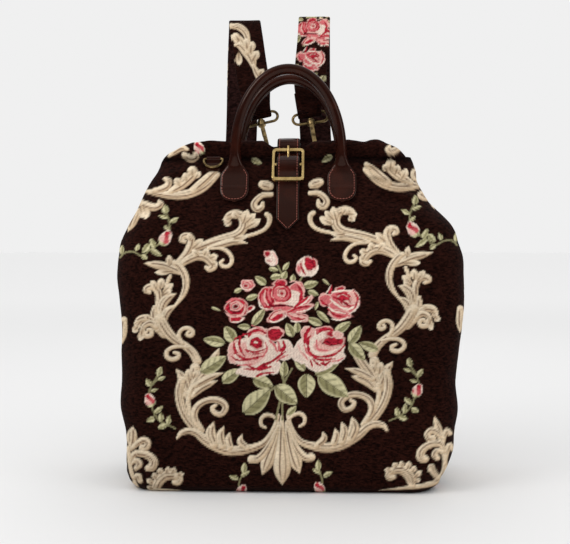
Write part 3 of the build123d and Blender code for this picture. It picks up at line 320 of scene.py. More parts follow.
FLOWER_FOLDS: Folds = (
    (((272.8, 296.2), (274, 288.1), (281.1, 285.2), (288.2, 288.1), (290.5, 295), (286.5, 300.6),
     (279.2, 301), (274, 298.1)), 0.75, "red"),
    (((277.8, 293.8), (279.2, 289.6), (284.2, 289), (287, 293.1), (284, 297.5), (279.2, 296.9)), 0.62,
     "red"),
    (((266.1, 303.8), (273, 306), (283, 305), (293.2, 306.8)), 0.88, "deep"),
    (((293.6, 308.1), (298.6, 303.8), (301, 297.5), (301, 290.6), (297.5, 285)), 1.12, "red"),
    (((262, 294.4), (262.5, 301.2), (265.5, 306.2)), 1, "rose"),
    (((265.2, 290), (264.5, 298.8), (268, 305)), 0.75, "blush"),
    (((269.5, 286.9), (268.2, 294.4), (271.1, 301.9)), 0.88, "rose"),
    (((270.5, 318.8), (276.8, 313.5), (286.1, 311.2)), 1.12, "blush"),
    (((289.9, 315), (298, 316), (307, 318.1)), 1, "blush"),
    (((287.5, 312.5), (299.2, 307.5), (311.1, 306)), 0.88, "red"),
    (((299.9, 304.4), (308, 296.9)), 1, "red"), (((288, 314), (293.6, 318.8), (298, 320)), 0.75, "rose"),
    (((259, 296.2), (260.2, 306.2), (267.4, 309)), 0.5, "cream"),
    (((268, 319), (274.2, 322.2), (284.2, 317.8), (286.5, 313.1)), 0.5, "cream"),
    (((289.9, 320.5), (298, 321.8), (307, 319)), 0.5, "cream"),
    (((312.5, 307.5), (305.5, 310.5), (295.5, 312.2)), 0.5, "cream"),
    (((311.2, 295.2), (306.1, 301.5), (300.5, 305.2)), 0.5, "cream"),
    (((276.8, 282.5), (280.5, 280), (286.1, 281.5)), 0.5, "rose"),
    (((289.2, 282.5), (295.5, 281.2), (303, 288.8), (304.2, 295)), 0.62, "blush"),
    (((273, 303.8), (280.5, 302.8), (289.2, 303.8)), 0.75, "blush"),
    (((225, 312.5), (231.8, 316.9), (240.8, 315.2), (244.8, 310), (245, 303.8)), 0.75, "blush"),
    (((226.8, 302.2), (233, 299), (243, 299.8)), 0.75, "rose"),
    (((232.8, 322), (239.2, 321.8), (244, 317.5)), 0.5, "cream"),
    (((247.5, 312.8), (254, 307.8), (250.2, 305.2)), 0.5, "cream"),
    (((229.9, 303.8), (229.5, 308.8), (234.2, 312.5), (241.1, 311)), 0.62, "deep"),
    (((233, 305), (238.6, 303.1), (241.1, 307.5)), 0.5, "blush"),
    (((332.4, 296.9), (340.5, 300), (351.8, 307.5)), 1, "red"),
    (((336.1, 294.8), (344.2, 293.1), (350.8, 296.9)), 0.88, "red"),
    (((353.6, 290.6), (357.5, 298.8), (355.5, 306.9)), 0.88, "red"),
    (((328, 309), (335.5, 315.2), (344.9, 316.9)), 0.88, "red"),
    (((330.2, 299), (337.4, 305.2), (348, 309.4), (354.9, 305.6)), 0.88, "cream"),
    (((331.1, 292.2), (340.5, 290.8), (351.5, 290.5)), 0.62, "cream"),
    (((358.8, 300), (357, 308.1), (348.6, 314.5)), 0.62, "cream"),
    (((327.8, 305.8), (334.2, 311.2), (344.9, 313.5)), 0.75, "cream"),
    (((320.5, 300), (324.2, 303.8), (328.6, 306.2)), 0.75, "red"),
    (((328, 296), (330.5, 290.6), (331.5, 285.6)), 0.88, "red"),
    (((326.2, 293.5), (329, 288.8), (331.1, 285.2)), 0.38, "cream"),
    (((319, 297.5), (324.2, 294.4), (330.5, 295)), 0.5, "blush"),
    (((330.5, 318.8), (339.2, 320), (348, 316.9)), 0.5, "cream"),
    (((343, 301.5), (346.8, 304.4)), 0.62, "deep"),
    (((248, 341.2), (250.8, 333.1), (258.6, 330.2), (265.8, 333.1)), 1.12, "red"),
    (((240.8, 336.9), (239.2, 343.8), (241.2, 351.2), (245.2, 356.5)), 0.88, "red"),
    (((234.2, 343.1), (234.5, 349.4), (237.8, 352.8)), 1, "red"),
    (((231.2, 356.2), (238, 360.2), (248, 359.5), (255.5, 357.5), (264.5, 356)), 0.75, "red"),
    (((246.5, 351.5), (254.2, 354), (263.2, 352.2)), 0.62, "red"),
    (((244, 368.8), (254.2, 369), (263, 365.2), (271.8, 361.2), (279.2, 356.2), (286.1, 351.2)), 1,
     "red"),
    (((256.1, 377), (261.8, 373.8), (273.6, 372.2)), 0.88, "red"),
    (((261.1, 368.8), (267.4, 366)), 1.25, "red"),
    (((279, 342), (279.8, 349.8), (284.5, 347.2), (283, 341.2)), 1.12, "red"),
    (((243.6, 334.4), (247.8, 338.8), (248, 348.8), (252, 354)), 0.75, "cream"),
    (((249.2, 345), (250.8, 337.2), (257, 334.8), (263.5, 337.5), (266, 343.8)), 0.88, "cream"),
    (((265.5, 342.5), (267, 350), (263, 356.2)), 0.62, "rose"),
    (((267.4, 331.2), (271.8, 328.1), (279.2, 328.1), (283.2, 332.5)), 0.62, "blush"),
    (((268.6, 340), (274.2, 345), (276.8, 351.2)), 0.88, "rose"),
    (((233, 342.5), (236.8, 337.5), (243.6, 335.6)), 0.62, "red"),
    (((250.5, 325), (258, 327.5), (264.9, 331.2)), 0.5, "rose"),
    (((276.8, 361.2), (280.5, 358.1), (288, 355)), 0.62, "rose"),
    (((238, 365), (245.5, 365), (253, 363.8)), 0.62, "rose"),
    (((309, 340), (307.8, 348.8), (313, 355.5), (324.2, 356.8), (336.8, 353), (344.9, 345)), 1, "red"),
    (((317.4, 334), (323.6, 329), (333.6, 330.2)), 1.12, "red"),
    (((310.8, 326.9), (306.1, 333.8), (304.2, 343.1)), 1.38, "red"),
    (((313, 337.8), (312, 347.8), (318.2, 353.2), (329.2, 352.8), (339.8, 347.8)), 1, "cream"),
    (((316.5, 340), (318, 348.8), (328, 350.8)), 0.75, "rose"),
    (((313.6, 357.8), (323, 359.8), (334.9, 358.8)), 1, "red"),
    (((320.8, 362.8), (326.2, 365.2)), 1.12, "red"), (((310.2, 359.4), (313, 367.8)), 0.62, "red"),
    (((302, 352.5), (308.2, 360.2)), 0.75, "rose"),
    (((298, 343.8), (300.5, 351.2), (305.5, 357.5)), 0.62, "blush"),
    (((321.8, 343.8), (326.8, 341.9), (332.4, 345), (338.6, 343.8)), 0.5, "deep"),
    (((315.5, 331.2), (314.9, 337.5), (313, 343.8)), 0.62, "cream"),
    (((330.5, 361.2), (338, 360.6), (344.2, 357.5)), 0.5, "rose"),
    (((304.2, 258.1), (303.5, 265), (307.5, 273.2)), 0.88, "cream"),
    (((300.5, 261.9), (302, 268.1), (305.5, 275)), 0.75, "red"),
    (((318.2, 265), (315.8, 271.8), (308.8, 275.8)), 0.75, "cream"),
    (((309.9, 260), (314.2, 265), (311.1, 270)), 0.5, "deep"),
    (((273, 252.5), (276.8, 258.8), (275.8, 265)), 0.5, "blush"),
    (((240.8, 285), (244, 289.2), (252, 289)), 0.5, "cream"),
    (((243.6, 282.5), (248, 281.2), (251.8, 285)), 0.5, "blush"),
    (((250.5, 345), (253, 340), (258, 339.4), (260, 343.5), (256, 347.5)), 1.5, "red"),
    (((238.6, 338), (243, 334.6), (248.5, 333.6), (253, 330)), 0.7, "red"),
    (((245.3, 349.4), (251, 351.6), (257, 351.8), (266.5, 348.4)), 0.75, "red"),
    (((234, 352.6), (240, 356.6), (248, 359.2), (258, 358.6)), 0.7, "red"),
    (((247.5, 365.3), (254, 368.6), (262, 369.4), (271, 366.6)), 1, "red"),
    (((283, 340), (284.6, 346.4), (281, 354)), 0.9, "red"),
    (((277.6, 341), (279.4, 347), (276.8, 353)), 0.7, "rose"),
    (((311, 335), (307, 341), (309.4, 350)), 0.9, "red"),
    (((304.4, 345), (306.4, 351.4), (311.4, 356.6)), 0.7, "rose"),
    (((312.4, 359), (317, 363.4), (321.3, 366)), 0.8, "red"),
    (((322, 359.4), (325, 364.4), (330.4, 361)), 0.8, "red"),
)
BOUQUET_LEAVES: Lobes = (
    ((266.3, 284.4), (255, 276.6), 3.7),
    ((250.3, 327.3), (237.5, 326.2), 3.1),
    ((224.8, 343.3), (203.1, 339), 5.1),
    ((234.2, 342), (225.1, 326.2), 6.2),
    ((270.4, 277.7), (282.4, 275.7), 3.2),
    ((282.4, 279.1), (286.4, 271.3), 3.3),
    ((292.5, 281.7), (293.4, 274.4), 2.9),
    ((303.2, 286.4), (318.3, 282.4), 3.9),
    ((307.9, 291.1), (318.6, 295.1), 2.9),
    ((283.1, 270.3), (289.1, 262.3), 2.4),
    ((269, 268.3), (278.4, 270.3), 2.3),
    ((234.2, 292.4), (242.2, 288.4), 2.3),
    ((246.2, 299.1), (258.3, 295.1), 2.9),
    ((252.3, 325.3), (265, 308.5), 4.3),
    ((293.1, 336.6), (286.4, 323.2), 4.7),
    ((297.1, 332.6), (297.1, 321.9), 3.6),
    ((321.9, 324.6), (306.5, 317.9), 3.7),
    ((317.2, 311.2), (329.3, 322.6), 2.9),
    ((334.6, 332.6), (350.7, 321.9), 4.4),
    ((349.4, 343.3), (360.8, 325.7), 5.5),
    ((349.4, 343.3), (364.8, 360.1), 5.9),
    ((378.2, 350), (359, 342.7), 4.7),
    ((200.7, 372.1), (226.2, 356.7), 7.4),
    ((222.1, 382.2), (240.9, 368.8), 6),
    ((252.9, 378.2), (273, 386.2), 6.4),
    ((243.6, 413), (270.4, 388.9), 10),
    ((275.7, 386.2), (297.1, 403.6), 8.7),
    ((306.5, 374.1), (306.5, 397.6), 8.7),
    ((318.6, 375.5), (348, 396.9), 10),
    ((283.7, 376.8), (284.4, 360.7), 4.4),
    ((305.2, 370.1), (294.5, 359.4), 4),
    ((315.2, 374.8), (338.7, 363.4), 4.7),
    ((287.1, 415), (296.5, 406.3), 3.2),
    ((317.9, 301.8), (315.2, 309.9), 1.7),
    ((322.6, 279.1), (329.3, 285.1), 1.3),
    ((211.4, 307.2), (220.1, 310.5), 1.2),
)

STRAP_STROKES: Strokes = (
    (((82.5, 102), (92, 105), (99, 114), (101, 127), (104, 138)), (2.2, 2.8, 2.6, 1.8, 0.6)),
    (((86, 118), (91, 127), (97, 138), (102, 150), (103.5, 163)), (3.2, 4, 4.4, 3.6, 1.4)),
    (((84.5, 129), (91, 131), (97, 141)), (1.2, 2.4, 2)),
    (((103, 160), (107, 172), (112, 182), (113, 192)), (1.4, 2.6, 3, 1.2)),
)
STRAP_LOBES: Lobes = (
    ((101.5, 143), (105.5, 127), 3.4), ((102.4, 154), (111.5, 141), 3.2), ((87.1, 139), (85.5, 157), 2.6),
    ((90, 125), (85, 113), 2.8), ((98, 137), (99, 122), 2.6), ((108, 174), (114.5, 166), 2.4),
    ((108, 178), (102.5, 190), 2.4),
)

# Half widths of the cloth body as shares of the greatest one, by share of height, on its left and right
LEFT_SHARES: tuple[Point, ...] = (
    (0, 0.88), (0.014, 0.907), (0.035, 0.926), (0.071, 0.924), (0.113, 0.916), (0.17, 0.928),
    (0.237, 0.963), (0.32, 0.955), (0.41, 0.959), (0.486, 0.962), (0.562, 0.982), (0.638, 1.001),
    (0.699, 0.994), (0.74, 0.987), (0.78, 0.954), (0.82, 0.913), (0.86, 0.872), (0.895, 0.841),
    (0.925, 0.814), (0.955, 0.78), (0.98, 0.762), (1, 0.743),
)
RIGHT_SHARES: tuple[Point, ...] = (
    (0, 0.824), (0.014, 0.859), (0.035, 0.875), (0.071, 0.905), (0.113, 0.935), (0.17, 0.949),
    (0.237, 0.97), (0.32, 0.968), (0.41, 0.978), (0.486, 0.996), (0.562, 1.017), (0.638, 1.02),
    (0.699, 1.009), (0.74, 0.98), (0.78, 0.954), (0.82, 0.887), (0.86, 0.818), (0.895, 0.779),
    (0.925, 0.75), (0.955, 0.745), (0.98, 0.731), (1, 0.722),
)
# Half depths as shares of the greatest one, and corner radii as shares of the half depth
DEPTH_SHARES: tuple[tuple[float, float, float], ...] = (
    (0.0, 0.885, 0.40), (0.014, 0.960, 0.40), (0.045, 0.990, 0.40), (0.166, 1.0, 0.42), (0.415, 1.0, 0.45),
    (0.637, 0.897, 0.50), (0.79, 0.718, 0.60), (0.9, 0.513, 0.70), (0.97, 0.342, 0.80), (1.0, 0.257, 0.85),
)
# Folds on the front: foot and head in millimetres across and up, half width, height
FOLDS: tuple[tuple[Point, Point, float, float], ...] = (
    ((80, 354), (116, 350), 3.2, 3.4), ((84, 347), (122, 342), 3.2, -3.2),
    ((88, 341), (128, 334), 3.6, 3.4), ((92, 333), (132, 324), 4.0, -3.4),
    ((100, 325), (136, 314), 5.0, 2.8), ((106, 314), (138, 302), 6.0, -2.6),
    ((-100, 350), (-128, 342), 4.5, 2.6), ((-96, 341), (-130, 328), 5.0, -2.6),
    ((-104, 331), (-136, 314), 6.0, 2.0), ((120, 300), (165, 285), 11.0, 2.0),
    ((-120, 300), (-162, 280), 11.0, 1.8), ((-40, 60), (60, 48), 14.0, -1.6),
    ((70, 120), (170, 118), 16.0, -2.2), ((-150, 60), (-120, 20), 10.0, -1.8),
    ((30, 340), (48, 352), 4.0, 1.4),
)
# Leather sewn to the cloth: -1 on the front or 1 on the rear, then its middle, foot, head and half width
SEWN_ON: tuple[tuple[int, float, float, float, float], ...] = (
    (-1, -58.5, 308, 350, 17), (-1, 58.5, 308, 350, 17), (-1, 0, 276, 361, 14), (-1, -83, 340, 361, 10),
    (1, -58.5, 308, 350, 17), (1, 58.5, 308, 350, 17), (1, 0, 312, 361, 14), (1, 83, 340, 361, 10),
    (1, -25, 345, 361, 12), (1, 30, 345, 361, 12),
)
# Middle line of the closing strap, back and up in millimetres, from its tip over the mouth to its rear end
STRAP_LINE: tuple[Point, ...] = (
    (-60.0, 279.6), (-56.3, 290.9), (-53.2, 299.3), (-49.8, 308.1), (-46.0, 316.6), (-42.5, 325.9),
    (-41.5, 331.1), (-41.6, 337.0), (-42.1, 343.9), (-41.9, 348.7), (-40.7, 352.6), (-37.4, 355.8),
    (-32.6, 359.2), (-27.6, 361.8), (-24.2, 363.6), (-22.5, 366.0), (-22.0, 369.2), (-21.3, 373.3),
    (-18.5, 377.4), (-14.4, 379.9), (-8.2, 381.3), (0.6, 381.6), (9.2, 381.2), (13.8, 380.2), (16.9, 378.7),
    (19.2, 376.7), (21.1, 373.7), (22.1, 370.8), (22.8, 364.8), (23.3, 360.4), (24.6, 356.6), (27.6, 351.8),
    (31.9, 345.6), (36.4, 337.1), (40.7, 328.3), (45.1, 318.9),
)
# Shoulder strap stations from the hook's eye over the fold to the base, in millimetres
LEFT_STRAP: tuple[tuple[float, float, float], ...] = (
    (-37.8, 46.7, 422.1), (-46.2, 55.9, 469.7), (-51.7, 67.6, 505.0), (-55.0, 76.0, 525.4),
    (-56.1, 80.9, 532.3), (-57.0, 87.0, 535.0), (-57.6, 93.1, 531.8), (-58.3, 96.5, 524.3),
    (-60.0, 96.0, 479.9), (-61.6, 94.0, 400.2), (-66.0, 91.0, 319.9), (-75.9, 87.0, 230.1),
    (-88.0, 84.0, 149.8), (-100.0, 82.8, 80.3), (-108.0, 81.0, 30.0), (-110.0, 80.6, 19.8),
)
RIGHT_STRAP: tuple[tuple[float, float, float], ...] = (
    (21.8, 47.0, 422.9), (23.7, 55.9, 470.0), (26.6, 67.6, 507.2), (27.7, 76.4, 529.3), (27.9, 81.3, 536.3),
    (27.9, 87.5, 539.0), (27.9, 93.6, 535.8), (27.9, 96.8, 528.2), (28.2, 96.5, 480.2), (29.2, 94.6, 399.9),
    (36.3, 91.0, 320.2), (52.3, 87.0, 230.2), (72.1, 84.0, 149.8), (92.0, 82.8, 80.9), (105.1, 81.0, 30.2),
    (110.0, 80.6, 19.9),
)
# Eyes that the straps loop round: middle in millimetres, direction up the hook, direction along the eye
LEFT_EYE: tuple[tuple[float, float, float], ...] = (
    (-36.7, 45.1, 417.6), (-0.2339, 0.3287, 0.9150), (0.9723, 0.0791, 0.2201),
)
RIGHT_EYE: tuple[tuple[float, float, float], ...] = (
    (22.5, 45.4, 418.4), (-0.1502, 0.3342, 0.9305), (0.9887, 0.0508, 0.1414),
)
# Dents of the cloth: rise in millimetres, random seed, and lengths across, in depth and up
DENTS: tuple[tuple[float, int, float, float, float], ...] = ((1.5, 3, 62, 40, 55), (0.7, 5, 24, 19, 21))
# Studio lights: name, place, aim, side and watts
LAMPS: tuple[tuple, ...] = (
    ("key", (-1.25, -0.95, 1.6), (0.0, 0.0, 0.25), 0.8, 10.0),
    ("fill", (1.5, -0.9, 1.0), (0.0, 0.0, 0.25), 0.8, 4.0),
    ("back", (0.2, 1.3, 1.5), (0.0, 0.0, 0.3), 1.2, 3.0),
)
# Up a handle's leg in millimetres: height, half width, half depth, and the power of its rounded section
HANDLE_LEG: tuple[tuple[float, float, float, float], ...] = (
    (326.5, 16.0, 2.2, 3.2), (335.0, 16.0, 2.2, 3.2), (341.0, 15.4, 2.6, 3.0), (346.0, 12.2, 3.4, 2.7),
    (351.0, 9.0, 4.4, 2.4), (356.0, 7.2, 5.0, 2.2), (360.0, 6.2, 5.4, 2.05), (364.0, 5.6, 5.5, 2.0),
)


class Side(Enum):
    """Left or right, as seen from the front."""

    LEFT = -1
    RIGHT = 1


class Face(Enum):
    """Front or rear of the bag."""

    FRONT = -1
    REAR = 1


def srgb(red: float, green: float, blue: float) -> tuple[float, float, float]:
    """Turns a screen colour of 0 to 255 into linear light.

    Args:
        red: red value.
        green: green value.
        blue: blue value.

    Returns:
        The three linear values.
    """
    share = np.array([red, green, blue]) / 255
    linear = np.where(share <= 0.04045, share / 12.92, ((share + 0.055) / 1.055) ** 2.4)
    return tuple(float(value) for value in linear)


def smoothstep(low: float | Array, high: float | Array, value: Array) -> Array:
    """Rises from 0 at low to 1 at high along 3t^2 - 2t^3; it falls where low is over high.

    Args:
        low: where it starts.
        high: where it ends.
        value: the values to map.

    Returns:
        The mapped values.
    """
    share = np.clip((value - low) / (high - low), 0, 1)
    return share * share * (3 - 2 * share)


def blend_colour(start: Array | tuple, end: Array | tuple, share: Array) -> Array:
    """Straight mix of two colours by a share per point.

    Args:
        start: colour at share 0.
        end: colour at share 1.
        share: one share per point.

    Returns:
        One colour per point.
    """
    return np.asarray(start) * (1 - share[:, None]) + np.asarray(end) * share[:, None]


def hermite(knots: Array, values: Array, at: Array) -> Array:
    """Cubic through the knots, its slope at each knot the central difference of its neighbours.

    Args:
        knots: rising places.
        values: value at each knot.
        at: places to read.

    Returns:
        The values there.
    """
    slopes = np.gradient(values, knots)
    left = np.clip(np.searchsorted(knots, at, side="right") - 1, 0, len(knots) - 2)
    span = knots[left + 1] - knots[left]
    t = np.clip((at - knots[left]) / span, 0, 1)
    rise = values[left] * (2 * t**3 - 3 * t**2 + 1) + values[left + 1] * (3 * t**2 - 2 * t**3)
    return rise + span * (slopes[left] * (t**3 - 2 * t**2 + t) + slopes[left + 1] * (t**3 - t**2))


def smooth_line(points: Array | tuple, steps: int) -> Array:
    """Catmull-Rom curve: cubic spans through the points, each point's slope half the chord round it.

    Args:
        points: rows of coordinates.
        steps: samples per span.

    Returns:
        The sampled rows, the last point included.
    """
    rows = np.asarray(points, float)
    padded = np.vstack([2 * rows[:1] - rows[1:2], rows, 2 * rows[-1:] - rows[-2:-1]])
    first, second = padded[:-3, None], padded[1:-2, None]
    third, fourth = padded[2:-1, None], padded[3:, None]
    t = np.linspace(0, 1, steps, endpoint=False)[None, :, None]
    curve = 0.5 * (2 * second + (third - first) * t + (2 * first - 5 * second + 4 * third - fourth) * t**2
                   + (3 * second - first - 3 * third + fourth) * t**3)
    return np.vstack([curve.reshape(-1, rows.shape[1]), rows[-1:]])


def run_lengths(line: Array) -> Array:
    """Length along a line of places up to each of them."""
    return np.concatenate([[0], np.cumsum(np.linalg.norm(np.diff(line, axis=0), axis=1))])


def even_line(points: Array, count: int) -> Array:
    """Points at equal steps of length along a line.

    Args:
        points: rows whose first columns are the place; other columns are carried along.
        count: number of points.

    Returns:
        The evenly spaced rows.
    """
    length = run_lengths(points[:, :3])
    wanted = np.linspace(0, length[-1], count)
    return np.column_stack([np.interp(wanted, length, column) for column in points.T])


def unit(vectors: Array) -> Array:
    """Rows scaled to length 1."""
    return vectors / np.maximum(np.linalg.norm(vectors, axis=-1, keepdims=True), 1e-12)


def rounded(value: Array, power: float | Array) -> Array:
    """A value raised to a power with its sign kept, which squares off a circle."""
    return np.sign(value) * np.abs(value) ** power


def cloud(seed: int, across: Array, up: Array) -> Array:
    """Value noise from -1 to 1: a fixed table of numbers at whole places, eased between them.

    Args:
        seed: which table.
        across: first coordinate, in cells.
        up: second coordinate, in cells.

    Returns:
        The noise at each place.
    """
    table = np.random.default_rng(seed).uniform(-1, 1, (CLOUD_CELLS, CLOUD_CELLS))
    left, low = np.floor(across).astype(int), np.floor(up).astype(int)
    right_share = smoothstep(0.0, 1.0, across - left)
    high_share = smoothstep(0.0, 1.0, up - low)
    left_cell, right_cell = left % CLOUD_CELLS, (left + 1) % CLOUD_CELLS
    lower_row, upper_row = low % CLOUD_CELLS, (low + 1) % CLOUD_CELLS
    lower = table[lower_row, left_cell] * (1 - right_share) + table[lower_row, right_cell] * right_share
    upper = table[upper_row, left_cell] * (1 - right_share) + table[upper_row, right_cell] * right_share
    return lower * (1 - high_share) + upper * high_share


def mirrored(points: Array | tuple) -> Array:
    """The pattern's right half from its left: mirrored about its leaning middle line.

    Args:
        points: rows of picture places.

    Returns:
        The mirrored rows.
    """
    rows = np.asarray(points, float)
    middle = PATTERN_MIDDLE[0] + PATTERN_LEAN * (PATTERN_MIDDLE[1] - rows[:, 1])
    across = 2 * middle - rows[:, 0]
    return np.column_stack([across, rows[:, 1] - PATTERN_TILT * (across - rows[:, 0])])


def paint_crease_shade_and_top_highlight(colours: Array, up: Array) -> Array:
    """Paints shade into the crease under the mouth's roll, and a paler line along the roll's top that is
    painted highlight and wear.

    Args:
        colours: a colour at each place.
        up: heights of the places.

    Returns:
        The changed colours.
    """
    # painted shade darkens the crease below the roll; painted highlight and wear lighten the roll's top
    crease, worn = (strength * np.exp(-((up - height) / half) ** 2)
                    for height, half, strength in (CREASE_SHADE, TOP_HIGHLIGHT_AND_WEAR))
    return colours * (1 - crease + worn)[:, None]


@dataclass(frozen=True)
class View:
    """The pinhole view that the pattern is drawn in."""

    place: tuple[float, float, float] = (0.0334, -1.080, 0.2615)
    yaw: float = 0.0368
    pitch: float = -0.0266
    focal: float = 953.4
    middle: Point = (283.55, 272.0)
    frame: Point = (570.0, 544.0)

    def picture(self, points: Array) -> Array:
        """Turns places into picture units: turn by yaw and pitch, then divide by the distance.

        Args:
            points: places in metres.

        Returns:
            Picture places, across and down.
        """
        x, y, z = np.moveaxis(points - np.asarray(self.place), -1, 0)
        across = x * math.cos(self.yaw) + y * math.sin(self.yaw)
        ahead = -x * math.sin(self.yaw) + y * math.cos(self.yaw)
        depth = ahead * math.cos(self.pitch) + z * math.sin(self.pitch)
        up = -ahead * math.sin(self.pitch) + z * math.cos(self.pitch)
        return np.stack([self.middle[0] + self.focal * across / depth,
                         self.middle[1] - self.focal * up / depth], axis=-1)


@dataclass(frozen=True)
class Yarns:
    """Colours of the tapestry's yarns, in linear light."""

    ground: tuple = srgb(30, 11, 7)
    light: tuple = srgb(232, 214, 186)
    beige: tuple = srgb(209, 184, 151)
    shade: tuple = srgb(150, 118, 90)
    vein: tuple = srgb(92, 60, 42)
    red: tuple = srgb(168, 34, 50)
    deep: tuple = srgb(112, 18, 32)
    rose: tuple = srgb(212, 112, 114)
    blush: tuple = srgb(233, 182, 170)
    cream: tuple = srgb(240, 220, 203)
    leaf_light: tuple = srgb(214, 206, 163)
    leaf: tuple = srgb(147, 141, 101)
    leaf_dark: tuple = srgb(78, 73, 50)
    stem: tuple = srgb(138, 132, 97)


class TapestryPainter:
    """Lays the woven pattern on a set of points given in picture units."""

    def __init__(self, places: Array, yarns: Yarns, bold: float = SCROLL_BOLDNESS) -> None:
        """Starts with bare ground.

        Args:
            places: rows of picture places.
            yarns: the colours.
            bold: factor on the widths of scrolls and lobes.
        """
        self.places = places
        self.yarns = yarns
        self.colour = np.tile(np.asarray(yarns.ground), (len(places), 1))
        self.pile = np.zeros(len(places))
        self.bold = bold

    def window(self, points: Array, reach: float) -> Array:
        """Indices of the points inside the box round some others, widened by reach."""
        low, high = points.min(axis=0) - reach, points.max(axis=0) + reach
        inside = np.all((self.places > low) & (self.places < high), axis=1)
        return np.nonzero(inside)[0]

    def offsets(self, index: Array, line: Array) -> tuple[Array, Array]:
        """Offsets and distances of some of the points from every place of a line."""
        away = self.places[index][:, None] - line[None]
        return away, np.hypot(away[..., 0], away[..., 1])

    def lay(self, index: Array, mask: Array, colour: Array) -> None:
        """Weaves a colour over the points by a mask.

        Args:
            index: the points.
            mask: share of the new colour at each.
            colour: the new colour at each.
        """
        self.colour[index] = blend_colour(self.colour[index], colour, mask)
        self.pile[index] = np.maximum(self.pile[index], mask)

    def stroke(self, points: Array | tuple, widths: tuple) -> None:
        """A scroll: the points nearer to a smooth line than its half width there, lit from the upper left.

        Args:
            points: picture places along the scroll.
            widths: half width at each.
        """
        yarns = self.yarns
        line = smooth_line(np.column_stack([points, self.bold * np.asarray(widths)]), 10)
        index = self.window(line[:, :2], line[:, 2].max() + 1.5)
        if not index.size:
            return
        away, distance = self.offsets(index, line[:, :2])
        gap = distance - line[None, :, 2]
        nearest = gap.argmin(axis=1)
        offset = away[np.arange(len(index)), nearest]
        width = np.maximum(line[nearest, 2], 0.3)
        along = unit(np.gradient(line[:, :2], axis=0))[nearest]
        across = (along[:, 0] * offset[:, 1] - along[:, 1] * offset[:, 0]) / width
        lit = -(PATTERN_LIGHT[0] * offset[:, 0] + PATTERN_LIGHT[1] * offset[:, 1]) / width
        colour = blend_colour(yarns.beige, yarns.light, smoothstep(-0.6, 0.6, lit))
        colour = blend_colour(colour, yarns.shade, 0.5 * smoothstep(0.25, 1.0, -lit))
        share = nearest / (len(line) - 1)
        vein = np.exp(-((across - 0.28) * width / 0.8) ** 2) * smoothstep(2.2, 3.2, width)
        second = np.exp(-((across + 0.42) * width / 0.7) ** 2) * smoothstep(3.6, 4.6, width)
        fade = smoothstep(0.0, 0.12, share) * smoothstep(1.0, 0.8, share)
        colour = blend_colour(colour, yarns.vein, np.clip(0.9 * vein + 0.6 * second, 0, 1) * fade)
        colour = blend_colour(colour, yarns.vein, 0.5 * smoothstep(0.78, 1.05, np.abs(across)))
        self.lay(index, smoothstep(0.55, -0.4, gap[np.arange(len(index)), nearest]), colour)

    def lens(self, base: Point, tip: Point, half: float, bulge: float) -> tuple[Array, Array, Array, Array]:
        """Leaf-like shape: half width times the sine of pi times the share along, raised to bulge.

        Args:
            base: where it starts.
            tip: where it ends.
            half: greatest half width.
            bulge: below 1 moves the widest place to the base, above 1 to the tip.

        Returns:
            Indices, mask, share along and signed share across of the points in it.
        """
        ends = np.array([base, tip], float)
        index = self.window(ends, half + 1)
        axis = ends[1] - ends[0]
        length = np.hypot(*axis)
        away = self.places[index] - ends[0]
        along = away @ axis / length**2
        side = (axis[0] * away[:, 1] - axis[1] * away[:, 0]) / length
        profile = half * np.sin(math.pi * np.clip(along, 0, 1) ** bulge) ** 0.75
        mask = smoothstep(profile + 0.45, profile - 0.45, np.abs(side)) * (along > -0.04) * (along < 1.04)
        return index, mask, np.clip(along, 0, 1), side / half

    def lobe(self, base: Point, tip: Point, half: float) -> None:
        """A lobe of acanthus: light towards its tip, with a vein from its foot."""
        index, mask, along, side = self.lens(base, tip, self.bold * half, 1.25)
        colour = blend_colour(self.yarns.beige, self.yarns.light, smoothstep(0.1, 0.9, along))
        colour = blend_colour(colour, self.yarns.shade, 0.5 * smoothstep(0.2, 1.0, side))
        vein = np.exp(-(side * half / 0.65) ** 2) * smoothstep(0.85, 0.4, along)
        self.lay(index, mask, blend_colour(colour, self.yarns.vein, 0.75 * vein))

    def leaf(self, base: Point, tip: Point, half: float) -> None:
        """A leaf: one half light and one darker, with a midrib, side veins and a pale edge."""
        yarns = self.yarns
        index, mask, along, side = self.lens(base, tip, half, 0.8)
        colour = blend_colour(yarns.leaf_light, yarns.leaf, smoothstep(-0.25, 0.2, side))
        ribs = 0.5 + 0.5 * np.cos(2 * math.pi * (4.0 * along - 1.1 * np.abs(side)))
        colour = blend_colour(colour, yarns.leaf_dark, 0.5 * ribs**3 * min(1.0, half / 5))
        midrib = np.exp(-(side * half / 0.45) ** 2) * smoothstep(2.0, 4.0, np.full(len(along), half))
        colour = blend_colour(colour, yarns.leaf_dark, 0.8 * midrib)
        edge = smoothstep(0.6, 0.92, np.abs(side) / np.maximum(np.sin(math.pi * along**0.8) ** 0.75, 0.05))
        self.lay(index, mask, blend_colour(colour, yarns.leaf_light, 0.75 * edge))

    def stem(self, points: Array | tuple, half: float) -> None:
        """A stem: an even green line."""
        line = smooth_line(points, 10)
        index = self.window(line, half + 1.2)
        if not index.size:
            return
        gap = self.offsets(index, line)[1].min(axis=1)
        self.lay(index, smoothstep(half + 0.7, half - 0.2, gap), np.asarray(self.yarns.stem))

